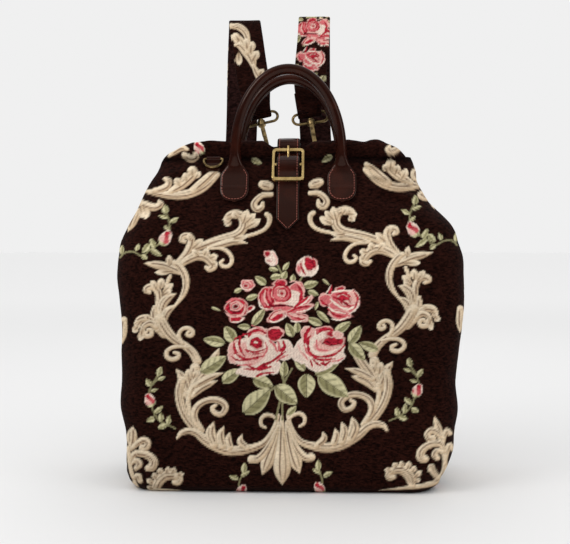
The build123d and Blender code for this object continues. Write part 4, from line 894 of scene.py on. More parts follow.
    def bud(self, centre: Point, radius: float, tip: Point) -> None:
        """A rosebud: an egg of red and cream stripes over a green cup.

        Args:
            centre: middle of the egg.
            radius: half its width.
            tip: a place towards its tip.
        """
        yarns = self.yarns
        middle = np.asarray(centre, float)
        axis = unit(np.asarray(tip, float) - middle)
        side_axis = np.array([-axis[1], axis[0]])
        for sway in (-0.75, 0.0, 0.75):
            foot = middle - 1.25 * radius * axis
            self.leaf(foot, middle + radius * (sway * side_axis - 0.1 * axis), 0.34 * radius)
        index = self.window(middle[None], 1.5 * radius)
        away = (self.places[index] - middle) / radius
        along, side = away @ axis, away @ side_axis
        reach = np.hypot(along / 1.12, side / (0.82 - 0.12 * along))
        stripe = np.sin(4.6 * side + 1.4 * np.sin(2.3 * along) + 0.6 * radius)
        colour = blend_colour(yarns.red, yarns.cream, smoothstep(-0.25, 0.35, stripe))
        colour = blend_colour(colour, yarns.rose, 0.45 * smoothstep(0.6, -0.2, along))
        colour = blend_colour(colour, yarns.red, 0.8 * smoothstep(0.5, 0.95, along))
        colour = blend_colour(colour, yarns.cream, 0.8 * smoothstep(0.82, 0.95, reach))
        self.lay(index, smoothstep(1.06, 0.94, reach) * smoothstep(-0.95, -0.7, along), colour)

    def field(self, centre: Point, halves: Point, turn: float, tint: str) -> None:
        """A petal: a scalloped oval with a paler rim and streaks of its own colour from its foot.

        Args:
            centre: its middle.
            halves: half its length and half its breadth.
            turn: its turn in degrees, clockwise.
            tint: name of its yarn.
        """
        middle = np.asarray(centre, float)
        index = self.window(middle[None], 1.2 * max(halves))
        away = self.places[index] - middle
        angle = math.radians(turn)
        along = (away[:, 0] * math.cos(angle) + away[:, 1] * math.sin(angle)) / halves[0]
        side = (away[:, 1] * math.cos(angle) - away[:, 0] * math.sin(angle)) / halves[1]
        way = np.arctan2(side, along)
        seed = centre[0] + 2 * centre[1]
        reach = np.hypot(along, side) / (1 + 0.055 * np.cos(3 * way + seed) + 0.04 * np.cos(5 * way - seed))
        gap = (reach - 1) * min(halves) + 0.45 * cloud(21, away[:, 0] / 2.2 + seed, away[:, 1] / 2.2)
        yarn = np.asarray(getattr(self.yarns, tint))
        sway = 2.2 * np.sin(0.8 * away[:, 1] + seed)
        streak = 0.5 + 0.5 * np.sin(2.1 * away[:, 0] + 0.9 * away[:, 1] + sway)
        shadow = blend_colour(yarn, self.yarns.red, np.full(len(index), 0.35))
        colour = blend_colour(yarn, shadow, 0.8 * streak**3)
        rim = np.exp(-((gap + 0.55) / 0.55) ** 2)
        colour = blend_colour(colour, self.yarns.cream, 0.6 * rim)
        self.lay(index, smoothstep(0.45, -0.35, gap), colour)

    def fold(self, points: Array | tuple, half: float, tint: str) -> None:
        """A fold or rim of a petal: a line of one yarn, thin at both ends.

        Args:
            points: picture places along it.
            half: half its width in the middle.
            tint: name of its yarn.
        """
        line = smooth_line(points, 12)
        index = self.window(line, half + 1)
        if not index.size:
            return
        share = np.linspace(0, 1, len(line))
        width = half * (0.35 + 0.65 * np.sin(math.pi * share) ** 0.6)
        width = width * (1 + 0.18 * np.sin(19 * share + points[0][0]))
        gap = (self.offsets(index, line)[1] - 1.3 * width).min(axis=1)
        gap = gap + 0.4 * cloud(22, self.places[index, 0] / 1.8, self.places[index, 1] / 1.8)
        self.lay(index, smoothstep(0.4, -0.3, gap), np.asarray(getattr(self.yarns, tint)))

    def whole(self) -> None:
        """The whole cloth: vines under scrolls under the bouquet, the left half mirrored to the right."""
        for points, half in VINE_STEMS:
            self.stem(points, half)
            self.stem(mirrored(points), half)
        for base, tip, half in VINE_LEAVES:
            self.leaf(base, tip, half)
            self.leaf(*mirrored((base, tip)), half)
        for centre, radius, tip in PAIRED_BUDS + LONE_BUDS:
            self.bud(centre, radius, tip)
        for centre, radius, tip in PAIRED_BUDS:
            self.bud(mirrored((centre,))[0], radius, mirrored((tip,))[0])
        for points, widths in SCROLL_STROKES + SHOULDER_STROKES + FLEUR_STROKES:
            self.stroke(points, widths)
            self.stroke(mirrored(points), widths)
        for points, widths in FLEUR_MIDDLE + CORNER_STROKES + RIGHT_CORNER_STROKES:
            self.stroke(points, widths)
        for strokes, shift in ((CORNER_CURLS, RIGHT_CURL_SHIFT), (CORNER_SPRAYS, RIGHT_SPRAY_SHIFT)):
            for points, widths in strokes:
                self.stroke(mirrored(points) + shift, widths)
        for base, tip, half in SCROLL_LOBES + SHOULDER_LOBES:
            self.lobe(base, tip, half)
            self.lobe(*mirrored((base, tip)), half)
        for base, tip, half in CORNER_LOBES:
            self.lobe(base, tip, half)
            self.lobe(*(mirrored((base, tip)) + RIGHT_SPRAY_SHIFT), half)
        for points, half in BOUQUET_STEMS:
            self.stem(points, half)
        for base, tip, half in BOUQUET_LEAVES:
            self.leaf(base, tip, half)
        for centre, halves, turn, tint in FLOWER_FIELDS:
            self.field(centre, halves, turn, tint)
        for points, half, tint in FLOWER_FOLDS:
            self.fold(points, half, tint)


def grid_quads(rows: int, columns: int, wrap: bool) -> Array:
    """Corner numbers of the faces of a grid, row by row.

    Args:
        rows: number of rows of vertices.
        columns: number of vertices in a row.
        wrap: whether the last column joins the first.

    Returns:
        Rows of four vertex numbers.
    """
    last = columns if wrap else columns - 1
    row, column = np.meshgrid(np.arange(rows - 1), np.arange(last), indexing="ij")
    right = (column + 1) % columns
    low, high = row * columns, (row + 1) * columns
    return np.stack([low + column, low + right, high + right, high + column], axis=-1).reshape(-1, 4)


def closed_sheet(outer: Array, inward: Array, thickness: float) -> Surface:
    """Cloth with two faces: a fine outer grid, an inner one at every fourth vertex, rims of triangles.

    Args:
        outer: outer places, rows by columns, both one more than a multiple of four.
        inward: unit directions to the inside.
        thickness: distance between the faces.

    Returns:
        Vertices, four-sided faces and triangles.
    """
    rows, columns = outer.shape[:2]
    inner = (outer + thickness * inward)[::4, ::4]
    fine = np.arange(rows * columns).reshape(rows, columns)
    coarse = rows * columns + np.arange(inner.shape[0] * inner.shape[1]).reshape(inner.shape[:2])
    quads = np.vstack([grid_quads(rows, columns, False),
                       rows * columns + grid_quads(*inner.shape[:2], False)[:, ::-1]])
    rims = []
    for edge, hem in ((fine[0], coarse[0]), (fine[-1][::-1], coarse[-1][::-1]),
                      (fine[:, -1], coarse[:, -1]), (fine[:, 0][::-1], coarse[:, 0][::-1])):
        step = np.arange(len(edge) - 1)
        rims.append(np.column_stack([edge[1:], edge[:-1], hem[(step + 2) // 4]]))
        rims.append(np.column_stack([hem[:-1], hem[1:], edge[2::4]]))
    return np.vstack([outer.reshape(-1, 3), inner.reshape(-1, 3)]), quads, np.vstack(rims)


def swept(rings: Array) -> Surface:
    """Closed tube through rings of vertices, with a point at the middle of each end ring.

    Args:
        rings: places, ring by ring.

    Returns:
        Vertices, four-sided faces and triangles.
    """
    rows, columns = rings.shape[:2]
    poles = np.stack([rings[0].mean(axis=0), rings[-1].mean(axis=0)])
    first = np.arange(columns)
    last = (rows - 1) * columns + first
    start = np.column_stack([np.roll(first, -1), first, np.full(columns, rows * columns)])
    end = np.column_stack([last, np.roll(last, -1), np.full(columns, rows * columns + 1)])
    return np.vstack([rings.reshape(-1, 3), poles]), grid_quads(rows, columns, True), np.vstack([start, end])


def make_piece(name: str, surface: Surface, crease: float = 62.0) -> bpy.types.Object:
    """Puts a closed surface into a smooth mesh, turned outwards by the sign of its volume.

    Args:
        name: the piece's name.
        surface: places in metres, four-sided faces and triangles.
        crease: angle in degrees from which an edge stays sharp.

    Returns:
        The linked object.
    """
    vertices, quads, triangles = surface
    split = np.vstack([quads[:, [0, 1, 2]], quads[:, [0, 2, 3]], triangles])
    first, second, third = vertices[split[:, 0]], vertices[split[:, 1]], vertices[split[:, 2]]
    if np.einsum("ij,ij->i", first, np.cross(second, third)).sum() < 0:
        quads, triangles = quads[:, ::-1], triangles[:, ::-1]
    corners = np.concatenate([quads.ravel(), triangles.ravel()]).astype(np.int32)
    starts = np.concatenate([4 * np.arange(len(quads)), quads.size + 3 * np.arange(len(triangles))])
    mesh = bpy.data.meshes.new(name)
    mesh.vertices.add(len(vertices))
    mesh.vertices.foreach_set("co", vertices.astype(np.float32).ravel())
    mesh.loops.add(len(corners))
    mesh.loops.foreach_set("vertex_index", corners)
    mesh.polygons.add(len(starts))
    mesh.polygons.foreach_set("loop_start", starts.astype(np.int32))
    mesh.update(calc_edges=True)
    mesh.validate()
    mesh.shade_smooth()
    mesh.set_sharp_from_angle(angle=math.radians(crease))
    piece = bpy.data.objects.new(name, mesh)
    bpy.context.scene.collection.objects.link(piece)
    return piece


def add_colours(piece: bpy.types.Object, colours: Array) -> None:
    """Stores a colour per vertex in the attribute that the tapestry reads.

    Args:
        piece: the object.
        colours: one row of three values per vertex.
    """
    layer = piece.data.color_attributes.new("paint", "FLOAT_COLOR", "POINT")
    values = np.ones((len(piece.data.vertices), 4), np.float32)
    values[:, :3] = colours
    layer.data.foreach_set("color", values.ravel())


def add_values(piece: bpy.types.Object, name: str, values: Array) -> None:
    """Stores a number per vertex in a named attribute."""
    layer = piece.data.attributes.new(name, "FLOAT", "POINT")
    layer.data.foreach_set("value", values.astype(np.float32))


def stitches(name: str, line: Array, outward: Array, pitch: float, size: tuple) -> bpy.types.Object:
    """A row of stitches: a small long bead at equal steps along a line, all in one mesh.

    Args:
        name: the piece's name.
        line: places along the seam.
        outward: direction off the leather at each place.
        pitch: distance from stitch to stitch.
        size: half length, half width and half height of one.

    Returns:
        The linked object.
    """
    length = np.linalg.norm(np.diff(line, axis=0), axis=1).sum()
    count = max(2, int(length / pitch))
    even = even_line(np.column_stack([line, outward]), count)
    along = unit(np.gradient(even[:, :3], axis=0))
    up = unit(even[:, 3:] - along * np.sum(even[:, 3:] * along, axis=1, keepdims=True))
    side = np.cross(along, up)
    turn = np.linspace(0, 2 * math.pi, 6, endpoint=False)
    lift = np.array([-0.92, -0.4, 0.4, 0.92])
    swell = np.sqrt(1 - lift**2)
    bead = np.stack([np.broadcast_to(lift[:, None] * size[0], (len(lift), len(turn))),
                     size[1] * swell[:, None] * np.cos(turn),
                     size[2] * swell[:, None] * np.sin(turn)], axis=-1)
    places = (even[:, None, None, :3] + bead[None, ..., :1] * along[:, None, None]
              + bead[None, ..., 1:2] * side[:, None, None] + bead[None, ..., 2:] * up[:, None, None])
    vertices, quads, triangles = swept(places[0])
    poles = np.stack([places[:, 0].mean(axis=1), places[:, -1].mean(axis=1)], axis=1)
    every = np.concatenate([places.reshape(count, -1, 3), poles], axis=1)
    shift = len(vertices) * np.arange(count)[:, None, None]
    return make_piece(name, (every.reshape(-1, 3), (quads[None] + shift).reshape(-1, 4),
                             (triangles[None] + shift).reshape(-1, 3)))


def new_group(name: str, inputs: dict[str, float], outputs: tuple[str, ...]) -> tuple:
    """Starts a shader node group with number sockets.

    Args:
        name: the group's name.
        inputs: input names and their values.
        outputs: output names.

    Returns:
        The group, its input node and its output node.
    """
    group = bpy.data.node_groups.new(name, "ShaderNodeTree")
    for label, value in inputs.items():
        socket = group.interface.new_socket(label, in_out="INPUT", socket_type="NodeSocketFloat")
        socket.default_value = value
    for label in outputs:
        group.interface.new_socket(label, in_out="OUTPUT", socket_type="NodeSocketFloat")
    return group, group.nodes.new("NodeGroupInput"), group.nodes.new("NodeGroupOutput")


class Wiring:
    """Short ways to add nodes to a tree and join them."""

    def __init__(self, tree: bpy.types.NodeTree) -> None:
        """Keeps the tree."""
        self.tree = tree

    def join(self, value: object, socket: bpy.types.NodeSocket) -> None:
        """Links a socket to another, or sets a plain value on it."""
        if isinstance(value, bpy.types.NodeSocket):
            self.tree.links.new(value, socket)
        else:
            socket.default_value = value

    def math(self, operation: str, first: object, second: object = 0.0) -> bpy.types.NodeSocket:
        """Result of one sum on two values."""
        node = self.tree.nodes.new("ShaderNodeMath")
        node.operation = operation
        self.join(first, node.inputs[0])
        self.join(second, node.inputs[1])
        return node.outputs[0]

    def place(self) -> bpy.types.NodeSocket:
        """Object coordinates."""
        return self.tree.nodes.new("ShaderNodeTexCoord").outputs["Object"]

    def scaled(self, vector: bpy.types.NodeSocket, scale: tuple) -> bpy.types.NodeSocket:
        """A vector multiplied axis by axis."""
        node = self.tree.nodes.new("ShaderNodeMapping")
        self.join(vector, node.inputs["Vector"])
        node.inputs["Scale"].default_value = scale
        return node.outputs[0]

    def noise(self, vector: bpy.types.NodeSocket, scale: object, detail: float) -> bpy.types.NodeSocket:
        """Noise value at a scale."""
        node = self.tree.nodes.new("ShaderNodeTexNoise")
        self.join(vector, node.inputs["Vector"])
        self.join(scale, node.inputs["Scale"])
        node.inputs["Detail"].default_value = detail
        return node.outputs[0]

    def ramp(self, value: bpy.types.NodeSocket, low: float, high: float, start: float,
             end: float) -> bpy.types.NodeSocket:
        """A value's span from low to high turned smoothly into start to end."""
        node = self.tree.nodes.new("ShaderNodeMapRange")
        node.interpolation_type = "SMOOTHSTEP"
        self.join(value, node.inputs["Value"])
        for label, number in zip(("From Min", "From Max", "To Min", "To Max"), (low, high, start, end)):
            node.inputs[label].default_value = number
        return node.outputs[0]

    def mix(self, share: object, first: object, second: object, blend: str = "MIX") -> bpy.types.NodeSocket:
        """Two colours mixed by a share."""
        node = self.tree.nodes.new("ShaderNodeMix")
        node.data_type = "RGBA"
        node.blend_type = blend
        for label, value in (("Factor_Float", share), ("A_Color", first), ("B_Color", second)):
            socket = next(item for item in node.inputs if item.identifier == label)
            colour = value if isinstance(value, (bpy.types.NodeSocket, float)) else (*value, 1.0)
            self.join(colour, socket)
        return next(item for item in node.outputs if item.identifier == "Result_Color")

    def grey(self, value: bpy.types.NodeSocket) -> bpy.types.NodeSocket:
        """A value as a grey colour."""
        node = self.tree.nodes.new("ShaderNodeCombineColor")
        for socket in node.inputs:
            self.join(value, socket)
        return node.outputs[0]

    def attribute(self, name: str, output: str) -> bpy.types.NodeSocket:
        """A mesh attribute."""
        node = self.tree.nodes.new("ShaderNodeAttribute")
        node.attribute_name = name
        return node.outputs[output]

    def bump(self, height: bpy.types.NodeSocket, strength: float, distance: float) -> bpy.types.NodeSocket:
        """Normal from a height."""
        node = self.tree.nodes.new("ShaderNodeBump")
        node.inputs["Strength"].default_value = strength
        node.inputs["Distance"].default_value = distance
        self.join(height, node.inputs["Height"])
        return node.outputs[0]

    def group(self, tree: bpy.types.NodeTree, **values: object) -> bpy.types.Node:
        """Places a node group with its values."""
        node = self.tree.nodes.new("ShaderNodeGroup")
        node.node_tree = tree
        for label, value in values.items():
            self.join(value, node.inputs[label])
        return node


class Effects:
    """Node groups that several finishes share."""

    def __init__(self) -> None:
        """Builds each group once."""
        self.weave = self.make_weave()
        self.grain = self.make_grain()
        self.tarnish = self.make_tarnish()

    def make_weave(self) -> bpy.types.NodeTree:
        """Chenille picks: noise stretched along each level row of yarn, and rounded rows.

        Returns:
            The group; Streak is light and dark yarn, Height the raised rows, Cloud slow wear.
        """
        group, inside, outside = new_group("Weave", {"Rows": 720.0}, ("Streak", "Height", "Cloud"))
        wire = Wiring(group)
        split = group.nodes.new("ShaderNodeSeparateXYZ")
        wire.join(wire.place(), split.inputs[0])
        level = wire.math("MULTIPLY", split.outputs[2], inside.outputs["Rows"])
        sway = wire.math("MULTIPLY", wire.noise(wire.place(), 90.0, 1.0), 2.4)
        level = wire.math("ADD", level, sway)
        row = wire.math("FLOOR", level)
        cell = group.nodes.new("ShaderNodeCombineXYZ")
        wire.join(wire.math("MULTIPLY", split.outputs[0], 230.0), cell.inputs[0])
        wire.join(wire.math("MULTIPLY", split.outputs[1], 230.0), cell.inputs[1])
        wire.join(wire.math("MULTIPLY", row, 7.31), cell.inputs[2])
        streak = wire.noise(cell.outputs[0], 1.0, 2.0)
        fibre = wire.noise(wire.scaled(wire.place(), (1.0, 1.0, 0.6)), 1500.0, 2.0)
        bow = wire.math("SINE", wire.math("MULTIPLY", wire.math("FRACT", level), math.pi))
        rows = wire.math("ADD", wire.math("MULTIPLY", bow, 0.45), wire.math("MULTIPLY", streak, 0.5))
        wire.join(wire.math("ADD", wire.math("MULTIPLY", streak, 0.75), wire.math("MULTIPLY", fibre, 0.25)),
                  outside.inputs["Streak"])
        wire.join(wire.math("ADD", rows, wire.math("MULTIPLY", fibre, 0.35)), outside.inputs["Height"])
        wire.join(wire.noise(wire.place(), 9.0, 3.0), outside.inputs["Cloud"])
        return group

    def make_grain(self) -> bpy.types.NodeTree:
        """Leather grain: small cells with creases between them, over slow clouds.

        Returns:
            The group; Cells is the pebbled height, Cloud slow change of colour and gloss.
        """
        group, inside, outside = new_group("Grain", {"Scale": 900.0}, ("Cells", "Cloud"))
        wire = Wiring(group)
        cells = group.nodes.new("ShaderNodeTexVoronoi")
        cells.feature = "SMOOTH_F1"
        wire.join(wire.place(), cells.inputs["Vector"])
        wire.join(inside.outputs["Scale"], cells.inputs["Scale"])
        fine = wire.noise(wire.place(), 2600.0, 2.0)
        wire.join(wire.math("ADD", cells.outputs["Distance"], wire.math("MULTIPLY", fine, 0.4)),
                  outside.inputs["Cells"])
        wire.join(wire.noise(wire.place(), 45.0, 4.0), outside.inputs["Cloud"])
        return group

    def make_tarnish(self) -> bpy.types.NodeTree:
        """Metal wear: blotches of tarnish and fine brushed scratches.

        Returns:
            The group; Blotch is the tarnish, Scratch the fine lines.
        """
        group, inside, outside = new_group("Tarnish", {"Scale": 160.0}, ("Blotch", "Scratch"))
        wire = Wiring(group)
        blotch = wire.noise(wire.place(), inside.outputs["Scale"], 5.0)
        scratch = wire.noise(wire.scaled(wire.place(), (1.0, 1.0, 0.08)), 3200.0, 2.0)
        wire.join(wire.ramp(blotch, 0.36, 0.66, 0.0, 1.0), outside.inputs["Blotch"])
        wire.join(scratch, outside.inputs["Scratch"])
        return group


def new_material(name: str) -> tuple[bpy.types.Material, Wiring, bpy.types.Node]:
    """Starts a material.

    Args:
        name: its name.

    Returns:
        The material, its wiring and its shader.
    """
    material = bpy.data.materials.new(name)
    material.use_nodes = True
    return material, Wiring(material.node_tree), material.node_tree.nodes["Principled BSDF"]


@dataclass(frozen=True)
class TapestryFinish:
    """Chenille tapestry, its pattern read from the paint attribute."""

    name: str = "tapestry"
    rows: float = 720.0
    sheen: float = 0.02

    def make(self, effects: Effects) -> bpy.types.Material:
        """Pattern colour times the streaks of the yarn, rows raised by bump."""
        material, wire, shader = new_material(self.name)
        weave = wire.group(effects.weave, Rows=self.rows)
        paint = wire.attribute("paint", "Color")
        coarse = wire.ramp(weave.outputs["Streak"], 0.32, 0.68, 0.25, 1.8)
        fine = wire.ramp(weave.outputs["Streak"], 0.32, 0.68, 0.84, 1.08)
        light = wire.mix(wire.ramp(paint, 0.02, 0.2, 0.0, 1.0), wire.grey(coarse), wire.grey(fine))
        worn = wire.ramp(weave.outputs["Cloud"], 0.3, 0.7, 0.86, 1.1)
        shade = wire.mix(1.0, light, wire.grey(worn), "MULTIPLY")
        colour = wire.mix(1.0, paint, shade, "MULTIPLY")
        wire.join(colour, shader.inputs["Base Color"])
        wire.join(wire.ramp(weave.outputs["Streak"], 0.2, 0.8, 0.97, 0.82), shader.inputs["Roughness"])
        wire.join(wire.bump(weave.outputs["Height"], 0.4, 0.0008), shader.inputs["Normal"])
        shader.inputs["Sheen Weight"].default_value = self.sheen
        shader.inputs["Sheen Roughness"].default_value = 0.45
        shader.inputs["Specular IOR Level"].default_value = 0.03
        return material


@dataclass(frozen=True)
class LeatherFinish:
    """Glossy bridle leather with fine grain and dark dressed edges."""

    name: str = "leather"
    colour: tuple = srgb(37, 13, 8)
    dark: tuple = srgb(16, 6, 4)
    warm: tuple = srgb(55, 20, 11)
    gloss: tuple = (1.0, 0.74, 0.6)
    coat: float = 0.08

    def make(self, effects: Effects) -> bpy.types.Material:
        """Grain darkens the colour between cells; clouds warm it and change its gloss."""
        material, wire, shader = new_material(self.name)
        grain = wire.group(effects.grain, Scale=950.0)
        cloud = grain.outputs["Cloud"]
        colour = wire.mix(wire.ramp(cloud, 0.42, 0.72, 0.0, 0.75), self.colour, self.warm)
        colour = wire.mix(wire.ramp(grain.outputs["Cells"], 0.75, 0.35, 0.0, 0.35), colour, self.dark)
        colour = wire.mix(wire.attribute("edge", "Fac"), colour, self.dark)
        wire.join(colour, shader.inputs["Base Color"])
        wire.join(wire.ramp(cloud, 0.3, 0.7, 0.13, 0.22), shader.inputs["Roughness"])
        wire.join(wire.bump(grain.outputs["Cells"], 0.08, 0.0003), shader.inputs["Normal"])
        shader.inputs["Specular IOR Level"].default_value = 0.2
        shader.inputs["Specular Tint"].default_value = (*self.gloss, 1.0)
        shader.inputs["Coat Weight"].default_value = self.coat
        shader.inputs["Coat Roughness"].default_value = 0.12
        return material


@dataclass(frozen=True)
class MetalFinish:
    """Metal with tarnish in blotches and fine scratches."""

    name: str
    colour: tuple
    tarnish: tuple
    share: float
    smooth: float
    rough: float

    def make(self, effects: Effects) -> bpy.types.Material:
        """Blotches mix in the tarnish colour and dull the gloss; scratches stir the roughness."""
        material, wire, shader = new_material(self.name)
        wear = wire.group(effects.tarnish, Scale=170.0)
        blotch = wire.math("MULTIPLY", wear.outputs["Blotch"], self.share)
        wire.join(wire.mix(blotch, self.colour, self.tarnish), shader.inputs["Base Color"])
        gloss = wire.math("ADD", wire.ramp(wear.outputs["Blotch"], 0.0, 1.0, self.smooth, self.rough),
                          wire.math("MULTIPLY", wear.outputs["Scratch"], 0.08))
        wire.join(gloss, shader.inputs["Roughness"])
        wire.join(wire.bump(wear.outputs["Scratch"], 0.05, 0.0002), shader.inputs["Normal"])
        shader.inputs["Metallic"].default_value = 1.0
        return material


@dataclass(frozen=True)
class PlainFinish:
    """A dull stuff with a fine uneven surface, such as thread or board."""

    name: str
    colour: tuple
    dark: tuple
    scale: float
    rough: float

    def make(self, effects: Effects) -> bpy.types.Material:
        """Fine grain mixes two tones and raises the surface a little."""
        material, wire, shader = new_material(self.name)
        grain = wire.group(effects.grain, Scale=self.scale)
        wire.join(wire.mix(wire.ramp(grain.outputs["Cells"], 0.25, 0.8, 0.0, 1.0), self.dark, self.colour),
                  shader.inputs["Base Color"])
        wire.join(wire.ramp(grain.outputs["Cloud"], 0.3, 0.7, self.rough, min(1.0, self.rough + 0.15)),
                  shader.inputs["Roughness"])
        wire.join(wire.bump(grain.outputs["Cells"], 0.3, 0.0004), shader.inputs["Normal"])
        return material


class Finishes:
    """Every material of the bag, made once."""

    def __init__(self) -> None:
        """Builds the shared effects and the materials."""
        effects = Effects()
        self.tapestry = TapestryFinish().make(effects)
        self.leather = LeatherFinish().make(effects)
        self.brass = MetalFinish("polished_brass", srgb(222, 192, 130), srgb(146, 112, 62), 0.45, 0.15,
                                 0.24).make(effects)
        self.antique = MetalFinish("antique_brass", srgb(166, 142, 98), srgb(66, 52, 34), 0.85, 0.26,
                                   0.42).make(effects)
        self.steel = MetalFinish("frame_steel", srgb(186, 186, 188), srgb(120, 118, 116), 0.5, 0.28,
                                 0.4).make(effects)
        self.board = PlainFinish("base_board", srgb(54, 48, 42), srgb(34, 30, 27), 700.0, 0.75).make(effects)
        self.thread = PlainFinish("thread", srgb(168, 92, 76), srgb(112, 54, 44), 3000.0, 0.6).make(effects)


def finish_piece(piece: bpy.types.Object, material: bpy.types.Material) -> None:
    """Dresses a piece of the bag's own body, hangs it on the bag and logs its faces.

    Args:
        piece: the object.
        material: its material.
    """
    piece.data.materials.append(material)
    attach(piece, "bag")
    LOG.info("%s: %d faces", piece.name, len(piece.data.polygons))


@dataclass
class BagBody:
    """The sewn cloth body: a lofted shell of four panels and a base, with crown, sag, folds and seams."""

    half_width: float = 0.189
    half_depth: float = 0.078
    height: float = 0.361
    seam_inset: float = 0.015
    cloth: float = 0.0026
    pile: float = 0.00022
    closeness: float = 0.38
    crown: float = 0.0045
    crown_height: float = 150.0
    crown_spread: float = 120.0
    crown_depth: float = 60.0
    base_seam: float = 13.0
    sag_height: float = 34.0
    calm_reach: float = 14.0
    base_ease: Point = (0.0, 10.0)
    mouth_ease: Point = (361.0, 355.0)
    base_hollow: float = 0.0012
    base_thick: float = 0.0028
    picture_unit: Point = (1.09e-3, 1.07e-3)
    picture_foot: float = 494.0
    back_middle: float = 284.0
    gusset_middle: float = 230.0
    gusset_apart: float = 45.0

    def section(self, up: Array, side: Array) -> tuple[Array, Array, Array]:
        """Half width, half depth and corner radius at some heights, from the tables of shares.

        Args:
            up: heights.
            side: below zero for the left, else the right.

        Returns:
            The three arrays.
        """
        share = up / self.height
        left, right, depths = (np.asarray(table).T for table in (LEFT_SHARES, RIGHT_SHARES, DEPTH_SHARES))
        width = np.where(side < 0, hermite(*left, share), hermite(*right, share))
        depth = self.half_depth * hermite(depths[0], depths[1], share)
        return self.half_width * width, depth, depth * hermite(depths[0], depths[2], share)

    def levels(self, count: int) -> Array:
        """Heights along the front's middle profile, at closer steps in the middle, where the flowers are."""
        up = np.linspace(0, self.height, 1200)
        depth = self.section(up, up)[1]
        profile = np.column_stack([np.zeros_like(up), depth, up])
        even = np.linspace(0, 1, count)
        close = even + self.closeness * np.sin(2 * math.pi * even) / (2 * math.pi)
        return np.interp(close, even, even_line(profile, count)[:, 2])

    def seam_turn(self, radius: Array) -> Array:
        """Angle round the corner at which a panel meets its gusset."""
        return np.arcsin(np.clip((radius - self.seam_inset) / radius, 0, 1))

    def panel(self, face: Face, columns: int, rows: int) -> tuple[Array, Array]:
        """Front or rear panel: straight across, then round part of each corner, at equal steps.

        Args:
            face: which panel.
            columns: vertices across.
            rows: vertices up.

        Returns:
            Places and outward directions, rows by columns.
        """
        even = np.linspace(-1, 1, columns)
        close = even - self.closeness * np.sin(math.pi * even) / math.pi
        across, up = np.meshgrid(close, self.levels(rows))
        width, depth, radius = self.section(up, across)
        straight = width - radius
        run = np.abs(across) * (straight + radius * self.seam_turn(radius))
        turn = np.maximum(run - straight, 0) / radius
        x = np.sign(across) * (np.minimum(run, straight) + radius * np.sin(turn))
        y = depth - radius + radius * np.cos(turn)
        outward = np.stack([np.sign(across) * np.sin(turn), face.value * np.cos(turn), 0 * up], axis=-1)
        return np.stack([x, face.value * y, up], axis=-1), outward

    def gusset(self, side: Side, columns: int, rows: int) -> tuple[Array, Array]:
        """Side panel: straight along the side, then round the rest of each corner to the seams.

        Args:
            side: which gusset.
            columns: vertices from front to rear.
            rows: vertices up.

        Returns:
            Places and outward directions, rows by columns.
        """
        along, up = np.meshgrid(np.linspace(-1, 1, columns), self.levels(rows))
        width, depth, radius = self.section(up, np.full_like(up, side.value))
        straight = depth - radius
        run = np.abs(along) * (straight + radius * (math.pi / 2 - self.seam_turn(radius)))
        turn = np.maximum(run - straight, 0) / radius
        x = width - radius + radius * np.cos(turn)
        y = np.sign(along) * (np.minimum(run, straight) + radius * np.sin(turn))
        outward = np.stack([side.value * np.cos(turn), np.sign(along) * np.sin(turn), 0 * up], axis=-1)
        return np.stack([side.value * x, y, up], axis=-1), outward

    def calm(self, place: Array) -> Array:
        """Share of the cloth's liveliness left near the sewn-on leather, 0 under it and 1 away from it."""
        x, y, up = (place[..., axis] / MM for axis in range(3))
        left = np.ones_like(x)
        for face, middle, low, high, half in SEWN_ON:
            beside = np.maximum(np.abs(x - middle) - half, 0)
            beyond = np.maximum(np.maximum(low - up, up - high), 0)
            near = smoothstep(0.0, self.calm_reach, np.hypot(beside, beyond))
            left = left * np.where(face * y < 0, 1.0, near)
        return left

    def liveliness(self, place: Array) -> Array:
        """How far the cloth stands off the plain shell: crown, slow dents, folds and seam grooves added up.

        Args:
            place: places on the plain shell.

        Returns:
            Distance along the outward direction.
        """
        x, y, up = (place[..., axis] / MM for axis in range(3))
        facing = np.clip(np.abs(y) / self.crown_depth, 0, 1)
        bow = np.exp(-(x / self.crown_spread) ** 2 - ((up - self.crown_height) / self.crown_spread) ** 2)
        crown = self.crown / MM * facing * bow
        dents = sum(rise * cloud(seed, x / wide + y / deep, up / tall)
                    for rise, seed, wide, deep, tall in DENTS)
        folds = np.zeros_like(x)
        for foot, head, half, rise in FOLDS:
            start, end = np.asarray(foot, float), np.asarray(head, float)
            axis = end - start
            share = np.clip(((x - start[0]) * axis[0] + (up - start[1]) * axis[1]) / (axis @ axis), 0, 1)
            gap = np.hypot(x - start[0] - share * axis[0], up - start[1] - share * axis[1])
            folds = folds + rise * np.exp(-(gap / half) ** 2) * (y < 10)
        width, depth, radius = self.section(place[..., 2], place[..., 0])
        seam = np.abs(np.abs(x) - (width - self.seam_inset) / MM)
        groove = -0.12 * np.exp(-(seam / 2.0) ** 2) - 0.3 * np.exp(-((up - self.base_seam) / 2.0) ** 2)
        sag = 1.6 * np.exp(-((up - self.sag_height) / 20) ** 2)
        edges = smoothstep(*self.base_ease, up) * smoothstep(*self.mouth_ease, up)
        return MM * (edges * self.calm(place) * (crown + dents + folds + groove + sag))

    def raised(self, place: Array, outward: Array) -> Array:
        """Places moved off the plain shell to where the cloth lies."""
        return place + outward * self.liveliness(place)[..., None]

    def plain_picture(self, middle: float, run: Array, up: Array) -> Array:
        """Picture places on a panel out of the view.

        Args:
            middle: picture place of its middle line.
            run: distance across from that line.
            up: height.

        Returns:
            Picture places, across and down.
        """
        across, high = self.picture_unit
        return np.stack([middle + run / across, self.picture_foot - up / high], axis=-1)

